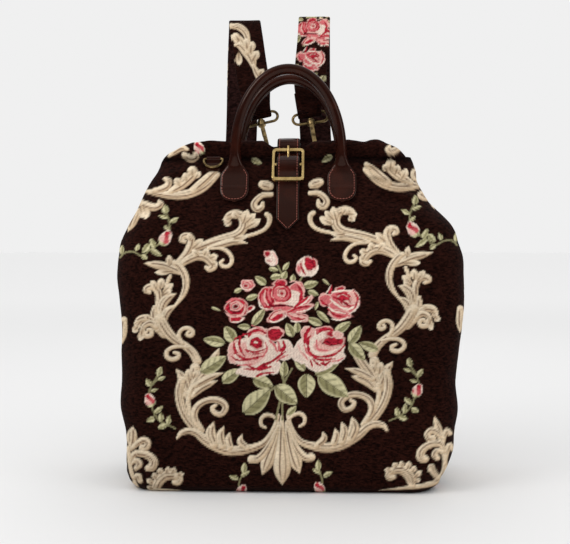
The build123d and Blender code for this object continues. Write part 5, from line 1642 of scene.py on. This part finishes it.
    def sew(self, name: str, place: Array, outward: Array, picture: Array, finishes: Finishes) -> None:
        """Makes one panel: moves it off the shell, paints it, raises the pattern's pile and closes it.

        Args:
            name: the piece's name, after the node that it stands for.
            place: places on the plain shell.
            outward: outward directions.
            picture: picture places of the pattern.
            finishes: the materials.
        """
        painter = TapestryPainter(picture.reshape(-1, 2), Yarns())
        painter.whole()
        pile = painter.pile.reshape(place.shape[:2])
        lifted = place + outward * (self.liveliness(place) + self.pile * pile)[..., None]
        surface = closed_sheet(lifted, -outward, self.cloth)
        piece = make_piece(f"{name}_cloth", surface)
        colours = np.tile(np.asarray(Yarns().ground), (len(surface[0]), 1))
        # the pattern, with painted shade in the crease under the mouth's roll and a painted highlight on the
        # roll's top
        colours[:len(painter.colour)] = paint_crease_shade_and_top_highlight(painter.colour, place[..., 2].ravel())
        add_colours(piece, colours)
        finish_piece(piece, finishes.tapestry)
        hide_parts(name)

    def build(self, view: View, finishes: Finishes) -> None:
        """Makes the panels, gussets and base.

        Args:
            view: the view that the pattern is drawn in.
            finishes: the materials.
        """
        place, outward = self.panel(Face.FRONT, 305, 305)
        self.sew("front_panel", place, outward, view.picture(self.raised(place, outward)), finishes)
        place, outward = self.panel(Face.REAR, 241, 241)
        picture = self.plain_picture(self.back_middle, -place[..., 0], place[..., 2])
        self.sew("back_panel", place[:, ::-1], outward[:, ::-1], picture[:, ::-1], finishes)
        for side, name in ((Side.LEFT, "left_gusset"), (Side.RIGHT, "right_gusset")):
            place, outward = self.gusset(side, 97, 241)
            run = np.cumsum(np.linalg.norm(np.diff(place, axis=1, prepend=place[:, :1]), axis=-1), axis=1)
            run = run - run[:, -1:] / 2
            middle = self.gusset_middle + self.gusset_apart * side.value
            picture = self.plain_picture(middle, run, place[..., 2])
            shown = self.raised(place, outward)
            seen = np.sum(outward * (np.asarray(view.place) - shown), axis=-1, keepdims=True) > 0
            self.sew(name, place, outward, np.where(seen, view.picture(shown), picture), finishes)
        self.build_base(finishes)

    def build_base(self, finishes: Finishes) -> None:
        """The base: the shell's lowest outline shrunk ring by ring to the middle, a little hollow."""
        loops = [self.panel(Face.FRONT, 41, 5)[0][0], self.gusset(Side.RIGHT, 17, 5)[0][0],
                 self.panel(Face.REAR, 41, 5)[0][0, ::-1], self.gusset(Side.LEFT, 17, 5)[0][0, ::-1]]
        outline = np.vstack([loop[:-1] for loop in loops])
        shares = np.linspace(0.02, 1, 24)[:, None, None]
        lower = outline[None] * shares
        lower[..., 2] = self.base_hollow * (1 - shares[..., 0] ** 6)
        upper = lower[::-1] + np.array([0, 0, self.base_thick])
        surface = swept(np.vstack([lower, upper]))
        piece = make_piece("base_cloth", surface)
        add_colours(piece, np.tile(np.asarray(Yarns().ground), (len(surface[0]), 1)))
        finish_piece(piece, finishes.tapestry)
        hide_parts("base_panel")


@dataclass
class MouthSleeve:
    """A cloth sleeve round one bar of the mouth frame: a soft roll with gathers, closed at its ends."""

    face: Face
    height: float = 0.0205
    puff: float = 0.0062
    bulge: float = 0.0055
    depth: float = 0.0135
    left_reach: float = 0.146
    right_reach: float = 0.136
    left_droop: tuple[float, float, float] = (0.013, 0.098, 0.034)
    right_droop: tuple[float, float, float] = (0.015, 0.100, 0.028)
    ring_x: float = -0.083
    squareness: float = 0.75

    def build(self, node: str, view: View, finishes: Finishes) -> None:
        """Sweeps a rounded section along the bar, swollen and pinched by noise.

        Args:
            node: the sleeve's node.
            view: the view that the pattern is drawn in.
            finishes: the materials.
        """
        low, high = (np.asarray(corner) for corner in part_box(node))
        middle = (low + high) / 2
        circle = np.linspace(0, 2 * math.pi, 56, endpoint=False)
        across, turn = np.meshgrid(np.linspace(-1, 1, 221), circle, indexing="ij")
        end = np.sqrt(np.clip(1 - np.abs(across) ** 22, 0, 1))
        x = np.where(across < 0, -self.left_reach, self.right_reach) * np.abs(across)
        droops = ((-1, *self.left_droop), (1, *self.right_droop))
        fall = sum(drop * np.clip((side * x - start) / run, 0, 1.4) ** 1.5
                   for side, drop, start, run in droops)
        swell = 1 + 0.05 * cloud(11, x / 0.016, turn * 0.6) + 0.035 * cloud(12, x / 0.006, turn * 0.9 + 7)
        gather = smoothstep(0.05, 0.085, x) + 0.6 * smoothstep(-0.07, -0.1, x)
        swell = swell * (1 + 12 * fall) + 0.05 * gather * np.sin(x / 0.0042 + 2.0 * turn)
        free = smoothstep(0.016, 0.03, np.abs(x))
        puff = self.puff * free
        clear = smoothstep(0.013, 0.028, np.abs(x - self.ring_x))
        deep = self.depth / 2 + (self.bulge * free * clear if self.face is Face.FRONT else 0.0)
        y = middle[1] * (1 - 18 * fall) + deep * end * swell * rounded(np.cos(turn), self.squareness)
        tall = (self.height + puff) / 2
        z = middle[2] + puff / 2 - fall + tall * end * swell * rounded(np.sin(turn), self.squareness)
        surface = swept(np.stack([x, y, z], axis=-1))
        vertices = surface[0]
        piece = make_piece(f"{node}_cloth", surface)
        seen = vertices if self.face is Face.FRONT else vertices * np.array([-1, -1, 1])
        painter = TapestryPainter(view.picture(seen), Yarns())
        painter.whole()
        # the pattern, with painted shade in the crease under the roll and a painted highlight along its top
        add_colours(piece, paint_crease_shade_and_top_highlight(painter.colour, vertices[:, 2]))
        finish_piece(piece, finishes.tapestry)
        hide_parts(node)


@dataclass
class RolledHandle:
    """A rolled leather handle: a tab, a neck, a round roll on an arch, and down again to the other tab."""

    face: Face
    body: BagBody
    half_span: float = 0.0585
    standoff: float = 0.032
    spring: float = 0.364
    arch: float = 0.092
    roll: float = 0.0055
    tab_half: float = 0.016
    tab_bottom: float = 0.3105
    tab_middle: float = 0.3265
    leg_start: float = 0.3268
    flat_top: float = 0.3405
    free_from: float = 0.340
    foot_power: float = 2 / 2.6
    seam_inset: float = 0.0027
    seam_top: float = 0.3450

    def leg(self) -> Array:
        """Stations up one leg: off the cloth, up, half width, half depth and roundness, from the tab's foot.

        Returns:
            Rows of those five values.
        """
        foot = np.linspace(0, math.pi / 2, 16)
        rise = self.tab_middle - (self.tab_middle - self.tab_bottom) * np.cos(foot) ** self.foot_power
        round_half = np.maximum(self.tab_half * np.sin(foot) ** self.foot_power, 0.0012)
        knots = np.array(HANDLE_LEG)
        up = np.linspace(self.leg_start, self.spring, 40)
        upper = [hermite(knots[:, 0] * MM, knots[:, column], up) for column in (1, 2, 3)]
        heights = np.concatenate([rise, up])
        half = np.concatenate([round_half, upper[0] * MM])
        depth = np.concatenate([np.full(len(foot), knots[0, 2] * MM), upper[1] * MM])
        power = np.concatenate([np.full(len(foot), knots[0, 3]), upper[2]])
        cloth = self.body.section(heights, heights)[1]
        away = np.maximum(cloth + 0.0004 + 1.08 * depth, np.where(heights > self.free_from, self.standoff, 0))
        flat = heights < self.flat_top
        chord = np.interp(heights[flat], heights[flat][[0, -1]], away[flat][[0, -1]])
        away[flat] = chord + 0.0005 * np.sin(np.linspace(0, math.pi, flat.sum()))
        kernel = np.ones(5) / 5
        away[2:-2] = np.convolve(away, kernel, mode="valid")
        return np.column_stack([away, heights, half, depth, power])

    def build(self, node: str, finishes: Finishes) -> None:
        """Sweeps a rounded section along the whole path and sews the tabs.

        Args:
            node: the handle's node.
            finishes: the materials.
        """
        leg = self.leg()
        turn = np.linspace(0, math.pi, 121)[1:-1]
        count = len(turn)
        arch = np.column_stack([-self.half_span * np.cos(turn), np.full(count, -self.standoff),
                                self.spring + self.arch * np.sin(turn), np.full((count, 2), self.roll),
                                np.full(count, 2.0)])
        left = np.column_stack([np.full(len(leg), -self.half_span), -leg[:, 0], leg[:, 1:]])
        right = left[::-1] * np.array([-1, 1, 1, 1, 1, 1])
        path = np.vstack([left, arch, right])
        line = path[:, :3]
        along = unit(np.gradient(line, axis=0))
        out = np.array([0.0, -1.0, 0.0])
        out = unit(out - along * along[:, 1:2] * -1.0)
        side = np.cross(along, out)
        angle = np.linspace(0, 2 * math.pi, 40, endpoint=False)
        power = (2 / path[:, 5])[:, None]
        wide = rounded(np.cos(angle), power) * path[:, 3:4]
        deep = rounded(np.sin(angle), power) * path[:, 4:5]
        rings = line[:, None] + wide[..., None] * side[:, None] + deep[..., None] * out[:, None]
        seam = np.exp(-((np.cos(angle) - 1) / 0.02) ** 2)[None] * (path[:, 4] > 0.0052)[:, None]
        rings = rings + (0.0006 * seam)[..., None] * side[:, None]
        piece = make_piece(f"{node}_leather", swept(rings * self.flip()))
        near_edge = smoothstep(0.94, 1.0, np.abs(wide) / path[:, 3:4]) * (path[:, 4] < 0.003)[:, None]
        add_values(piece, "edge", np.concatenate([near_edge.ravel(), np.zeros(2)]))
        finish_piece(piece, finishes.leather)
        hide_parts(node)
        for side_name, mirror in ((Side.LEFT, 1.0), (Side.RIGHT, -1.0)):
            self.sew_tab(f"{node}_{side_name.name.lower()}_stitches", mirror, leg, finishes)

    def flip(self) -> Array:
        """Factors that turn the front handle into the rear one."""
        return np.array([1.0, 1.0, 1.0]) if self.face is Face.FRONT else np.array([-1.0, -1.0, 1.0])

    def sew_tab(self, name: str, mirror: float, leg: Array, finishes: Finishes) -> None:
        """A seam inside the tab's edge: up one side, round the foot and up the other.

        Args:
            name: the piece's name.
            mirror: 1 for the left tab, -1 for the right.
            leg: stations up the leg.
            finishes: the materials.
        """
        inset = self.tab_half - self.seam_inset
        foot = np.linspace(0, math.pi, 40)
        x = inset * rounded(np.cos(foot), self.foot_power)
        low = self.tab_middle - self.tab_bottom - self.seam_inset
        up = self.tab_middle - low * np.sin(foot) ** self.foot_power
        rise = np.linspace(self.seam_top, self.leg_start, 18)
        narrow = np.minimum(inset, np.interp(rise, leg[:, 1], leg[:, 2]) - self.seam_inset)
        x = np.concatenate([narrow, x, -narrow[::-1]])
        up = np.concatenate([rise, up, rise[::-1]])
        middle, half, depth, power = (np.interp(up, leg[:, 1], leg[:, column]) for column in (0, 2, 3, 4))
        top = np.clip(1 - np.abs(x / np.maximum(half, 1e-4)) ** power, 0.05, 1) ** (1 / power)
        away = middle + depth * top
        line = np.column_stack([mirror * (x - self.half_span), -away - 0.0001, up]) * self.flip()
        climb = np.gradient(up)
        lean = np.clip(np.gradient(middle) / np.where(np.abs(climb) < 1e-6, 1e-6, climb), -1, 1)
        outward = np.column_stack([np.zeros(len(up)), -np.ones(len(up)), -lean]) * self.flip()
        piece = stitches(name, line, unit(outward), *TAB_STITCH)
        finish_piece(piece, finishes.thread)


def ribbon_rings(line: Array, across: Array, half: Array, thick: Array, flat: int) -> Surface:
    """Rings of a flat strap: a straight upper face, a half-round edge, an under face, the other edge.

    Args:
        line: places along the middle.
        across: direction across the strap at each.
        half: half width at each.
        thick: thickness at each.
        flat: vertices across each face.

    Returns:
        The rings, the share across and the share off the middle of each vertex of a ring.
    """
    along = unit(np.gradient(line, axis=0))
    across = unit(across - along * np.sum(across * along, axis=1, keepdims=True))
    off = np.cross(across, along)
    bend = np.linspace(math.pi / 2, -math.pi / 2, 7)[1:-1]
    level = np.linspace(-1, 1, flat)
    straight = np.concatenate([level, np.ones(5), level[::-1], -np.ones(5)])
    edge = np.concatenate([0 * level, np.cos(bend), 0 * level, -np.cos(bend)])
    rise = np.concatenate([0 * level + 1, np.sin(bend), 0 * level - 1, -np.sin(bend)])
    inner = np.maximum(half - thick / 2, 0.0002)
    wide = inner[:, None] * straight + thick[:, None] / 2 * edge
    rings = line[:, None] + wide[..., None] * across[:, None]
    rings = rings + (thick[:, None] / 2 * rise)[..., None] * off[:, None]
    return rings, straight, rise


@dataclass
class ClosingStrap:
    """The leather strap over the mouth: a ribbon with a pointed tip and a seam along each edge."""

    half_width: float = 0.0125
    thick: float = 0.0026
    point: float = 0.013
    seam_inset: float = 0.0026

    def build(self, finishes: Finishes) -> None:
        """Sweeps the ribbon along its line, narrowing to the tip, and sews both edges.

        Args:
            finishes: the materials.
        """
        middles = np.asarray(STRAP_LINE) * MM
        line = even_line(smooth_line(np.column_stack([np.zeros(len(middles)), middles]), 8), 170)
        run = run_lengths(line)
        half = np.minimum(self.half_width, 0.0016 + self.half_width * run / self.point)
        end = run[-1] - run
        half = np.minimum(half, self.half_width - 0.002 + np.sqrt(np.clip(end * 0.004, 0, 4e-6)))
        across = np.tile([1.0, 0.0, 0.0], (len(line), 1))
        rings, straight, rise = ribbon_rings(line, across, half, np.full(len(line), self.thick), 19)
        crown = 0.0005 * (1 - straight**2) * (rise > 0.5)
        off = np.cross(across, unit(np.gradient(line, axis=0)))
        rings = rings + crown[None, :, None] * off[:, None]
        piece = make_piece("closing_strap_leather", swept(rings))
        edge = np.tile(np.abs(straight) > 0.98, (len(line), 1)).astype(float)
        add_values(piece, "edge", np.concatenate([0.8 * edge.ravel(), np.zeros(2)]))
        finish_piece(piece, finishes.leather)
        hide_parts("closing_strap")
        inset = half - self.seam_inset
        top = line + off * (self.thick / 2 + 0.0002)
        sewn = inset > 0.0004
        for side in Side:
            seam = top[sewn] + np.column_stack([side.value * inset[sewn], np.zeros((sewn.sum(), 2))])
            thread = stitches(f"closing_strap_{side.name.lower()}_stitches", seam, off[sewn], *STRAP_STITCH)
            finish_piece(thread, finishes.thread)


@dataclass
class ShoulderStrap:
    """A tapestry shoulder strap: looped round its eye, up to the fold, and down behind to the base."""

    side: Side
    stations: tuple
    eye: tuple[float, float, float]
    up: tuple[float, float, float]
    across: tuple[float, float, float]
    half_width: float = 0.019
    end_half: float = 0.014
    thick: float = 0.0036
    wrap: float = 0.0041
    rib: float = 0.0016
    rib_pitch: float = 0.0085
    picture_unit: float = 0.9e-3
    spray_unit: Point = (1.05e-3, 1.0e-3)

    def path(self) -> tuple[Array, Array, Array]:
        """Middle line, direction across and half width, from the sewn-down end round the eye to the base.

        Returns:
            The three arrays.
        """
        eye, up = np.asarray(self.eye) * MM, np.asarray(self.up)
        ahead = np.cross(np.asarray(self.across), up)
        turn = np.linspace(-0.15 * math.pi, 1.15 * math.pi, 9)
        loop = eye - self.wrap * np.cos(turn)[:, None] * ahead - self.wrap * np.sin(turn)[:, None] * up
        tail = np.stack([eye + 0.030 * up - 0.0046 * ahead, eye + 0.018 * up - 0.0044 * ahead,
                         eye + 0.009 * up - 0.0042 * ahead])
        run = np.asarray(self.stations, float) * MM
        line = smooth_line(np.vstack([tail, loop, run[1:]]), 12)
        line = even_line(line, 420)
        length = run_lengths(line)
        widen = smoothstep(0.045, 0.085, length)
        half = self.end_half + (self.half_width - self.end_half) * widen
        across = np.asarray(self.across) * (1 - widen[:, None]) + np.array([1.0, 0, 0]) * widen[:, None]
        return line, across, half

    def build(self, node: str, finishes: Finishes) -> None:
        """Sweeps the ribbon, paints its outer face and lines its inner one.

        Args:
            node: the strap's node.
            finishes: the materials.
        """
        line, across, half = self.path()
        run = run_lengths(line)
        drop = run[line[:, 2].argmax()] - run
        ribs = smoothstep(0.078, 0.09, drop) * (0.5 + 0.5 * np.sin(2 * math.pi * drop / self.rib_pitch))
        rings, straight, rise = ribbon_rings(line, across, half, self.thick + self.rib * ribs, 37)
        piece = make_piece(f"{node}_cloth", swept(rings))
        shape = rings.shape[:2]
        colours = self.weave((np.broadcast_to(straight, shape) * half[:, None]).ravel(),
                             np.broadcast_to(drop[:, None], shape).ravel())
        lined = np.broadcast_to(rise < -0.5, shape).ravel()
        colours = np.where(lined[:, None], np.asarray(srgb(40, 22, 20)), colours)
        add_colours(piece, np.vstack([colours, colours[:2]]))
        finish_piece(piece, finishes.tapestry)
        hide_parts(node)

    def weave(self, across: Array, drop: Array) -> Array:
        """Pattern along the strap: a spray of acanthus down the left front, two roses down the right one.

        Args:
            across: distance from the strap's middle line.
            drop: distance below the fold, less than zero behind it.

        Returns:
            A colour at each place.
        """
        yarns = Yarns()
        scale = self.picture_unit
        upper = np.column_stack([283 + across / scale, 299 + (drop - 0.025) / scale])
        lower = np.column_stack([340 + across / scale, 304 + (drop - 0.066) / scale])
        places = np.where((drop > 0.046)[:, None], lower, upper)
        places[drop > 0.097] = -100
        painter = TapestryPainter(places, yarns)
        painter.whole()
        if self.side is Side.RIGHT:
            return painter.colour
        wide, long = self.spray_unit
        places = np.column_stack([100 + across / wide, 100 + (drop - 0.01) / long])
        spray = TapestryPainter(places, yarns, SPRAY_BOLDNESS)
        for points, widths in STRAP_STROKES:
            spray.stroke(points, widths)
        for base, tip, half in STRAP_LOBES:
            spray.lobe(base, tip, half)
        return np.where((drop > 0)[:, None], spray.colour, painter.colour)


@dataclass
class Fittings:
    """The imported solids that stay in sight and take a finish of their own."""

    def build(self, nodes: dict[str, bpy.types.Object], finishes: Finishes) -> None:
        """Gives each solid its material by what it is made of.

        Args:
            nodes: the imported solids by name.
            finishes: the materials.
        """
        brass = ("buckle_frame", "buckle_prong")
        steel = ("front_frame", "rear_frame", "frame_hinge_pins")
        leather = ("buckle_chape", "front_ring_tab", "rear_ring_tab", "left_strap_tab", "right_strap_tab")
        antique = ["front_ring", "rear_ring"]
        for side in Side:
            antique += [f"{side.name.lower()}_{part}" for part in
                        ("strap_ring", "snap_eye", "snap_hook", "snap_gate", "gate_pin")]
        for names, material in ((brass, finishes.brass), (steel, finishes.steel),
                                (leather, finishes.leather), (antique, finishes.antique),
                                (("base_board",), finishes.board)):
            for name in names:
                slots = nodes[name].data.materials
                slots.clear()
                slots.append(material)
                LOG.info("%s: %s", name, material.name)


@dataclass
class Studio:
    """Pale floor, soft lights and the camera."""

    view: View
    horizon: float = 0.25
    zenith: float = 1.275
    ground: tuple[float, float, float] = (0.871, 0.871, 0.871)
    # floor colour near the bag, darker as painted shade against the lamps' pool of light
    floor_near_painted_shade: tuple[float, float, float] = (0.745, 0.745, 0.745)
    floor_far: tuple[float, float, float] = (0.87, 0.87, 0.87)
    floor_half: float = 40.0
    floor_height: float = -0.0004
    sensor: float = 36.0

    def build(self) -> None:
        """Sets up the floor, the world, the lights and the camera."""
        bpy.context.scene.view_settings.view_transform = "Standard"
        self.lay_floor()
        self.light_room()
        for name, place, aim, size, power in LAMPS:
            self.hang_light(name, place, aim, size, power)
        self.set_camera()

    def light_room(self) -> None:
        """A pale room: an even ground behind the bag, and light that grows from the horizon to the top."""
        world = bpy.data.worlds.new("studio")
        world.use_nodes = True
        wire = Wiring(world.node_tree)
        nodes = world.node_tree.nodes
        split = nodes.new("ShaderNodeSeparateXYZ")
        wire.join(nodes.new("ShaderNodeTexCoord").outputs["Generated"], split.inputs[0])
        sky = wire.ramp(split.outputs[2], 0.0, 0.9, self.horizon, self.zenith)
        dim = wire.math("MULTIPLY", sky, wire.ramp(split.outputs[2], 0.1, 1.0, 0.25, 0.5))
        path = nodes.new("ShaderNodeLightPath")
        light = wire.mix(path.outputs["Is Glossy Ray"], wire.grey(sky), wire.grey(dim))
        shown = wire.mix(path.outputs["Is Camera Ray"], light, self.ground)
        wire.join(shown, nodes["Background"].inputs["Color"])
        bpy.context.scene.world = world

    def lay_floor(self) -> None:
        """A wide level pale floor, with painted shade near the bag that evens out the lamps' pool of light.
        """
        steps = np.linspace(-self.floor_half, self.floor_half, 9)
        x, y = np.meshgrid(steps, steps)
        grid = np.stack([x, y, np.full_like(x, self.floor_height)], axis=-1)
        mesh = bpy.data.meshes.new("floor")
        mesh.from_pydata(grid.reshape(-1, 3).tolist(), [], grid_quads(*x.shape, False).tolist())
        floor = bpy.data.objects.new("floor", mesh)
        bpy.context.scene.collection.objects.link(floor)
        material, wire, shader = new_material("floor")
        away = material.node_tree.nodes.new("ShaderNodeVectorMath")
        away.operation = "LENGTH"
        wire.join(wire.place(), away.inputs[0])
        # painted shade: the floor's colour is darker near the middle, against the lamps' pool of light
        near = wire.ramp(away.outputs["Value"], 0.3, 4.2, 0.0, 1.0)
        wire.join(wire.mix(near, self.floor_near_painted_shade, self.floor_far), shader.inputs["Base Color"])
        shader.inputs["Roughness"].default_value = 0.9
        floor.data.materials.append(material)

    def hang_light(self, name: str, place: tuple, aim: tuple, size: float, power: float) -> None:
        """A square soft light.

        Args:
            name: its name.
            place: where it hangs.
            aim: what it points at.
            size: its side.
            power: its power in watts.
        """
        lamp = bpy.data.lights.new(name, "AREA")
        lamp.size = size
        lamp.energy = power
        light = bpy.data.objects.new(name, lamp)
        away = np.asarray(place) - np.asarray(aim)
        light.location = place
        light.rotation_euler = (math.atan2(math.hypot(away[0], away[1]), away[2]), 0.0,
                                math.atan2(away[0], -away[1]))
        bpy.context.scene.collection.objects.link(light)

    def set_camera(self) -> None:
        """A camera that sees what the view says."""
        lens = bpy.data.cameras.new("camera")
        lens.sensor_width = self.sensor
        lens.lens = self.sensor * self.view.focal / self.view.frame[0]
        lens.shift_x = (self.view.frame[0] / 2 - self.view.middle[0]) / self.view.frame[0]
        camera = bpy.data.objects.new("camera", lens)
        camera.location = self.view.place
        camera.rotation_euler = (math.pi / 2 + self.view.pitch, 0.0, self.view.yaw)
        bpy.context.scene.collection.objects.link(camera)
        bpy.context.scene.camera = camera


def main() -> None:
    """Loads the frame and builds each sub-assembly in order."""
    logging.basicConfig(level=logging.INFO, format="%(message)s")
    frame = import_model()
    view = View()
    finishes = Finishes()
    body = BagBody()
    body.build(view, finishes)
    for face, node in ((Face.FRONT, "front_frame_sleeve"), (Face.REAR, "rear_frame_sleeve")):
        MouthSleeve(face).build(node, view, finishes)
    for face, node in ((Face.FRONT, "front_handle"), (Face.REAR, "rear_handle")):
        RolledHandle(face, body).build(node, finishes)
    ClosingStrap().build(finishes)
    for side, line, eye in ((Side.LEFT, LEFT_STRAP, LEFT_EYE), (Side.RIGHT, RIGHT_STRAP, RIGHT_EYE)):
        ShoulderStrap(side, line, *eye).build(f"{side.name.lower()}_shoulder_strap", finishes)
    Fittings().build(frame["nodes"], finishes)
    Studio(view).build()


if __name__ == "__main__":
    main()
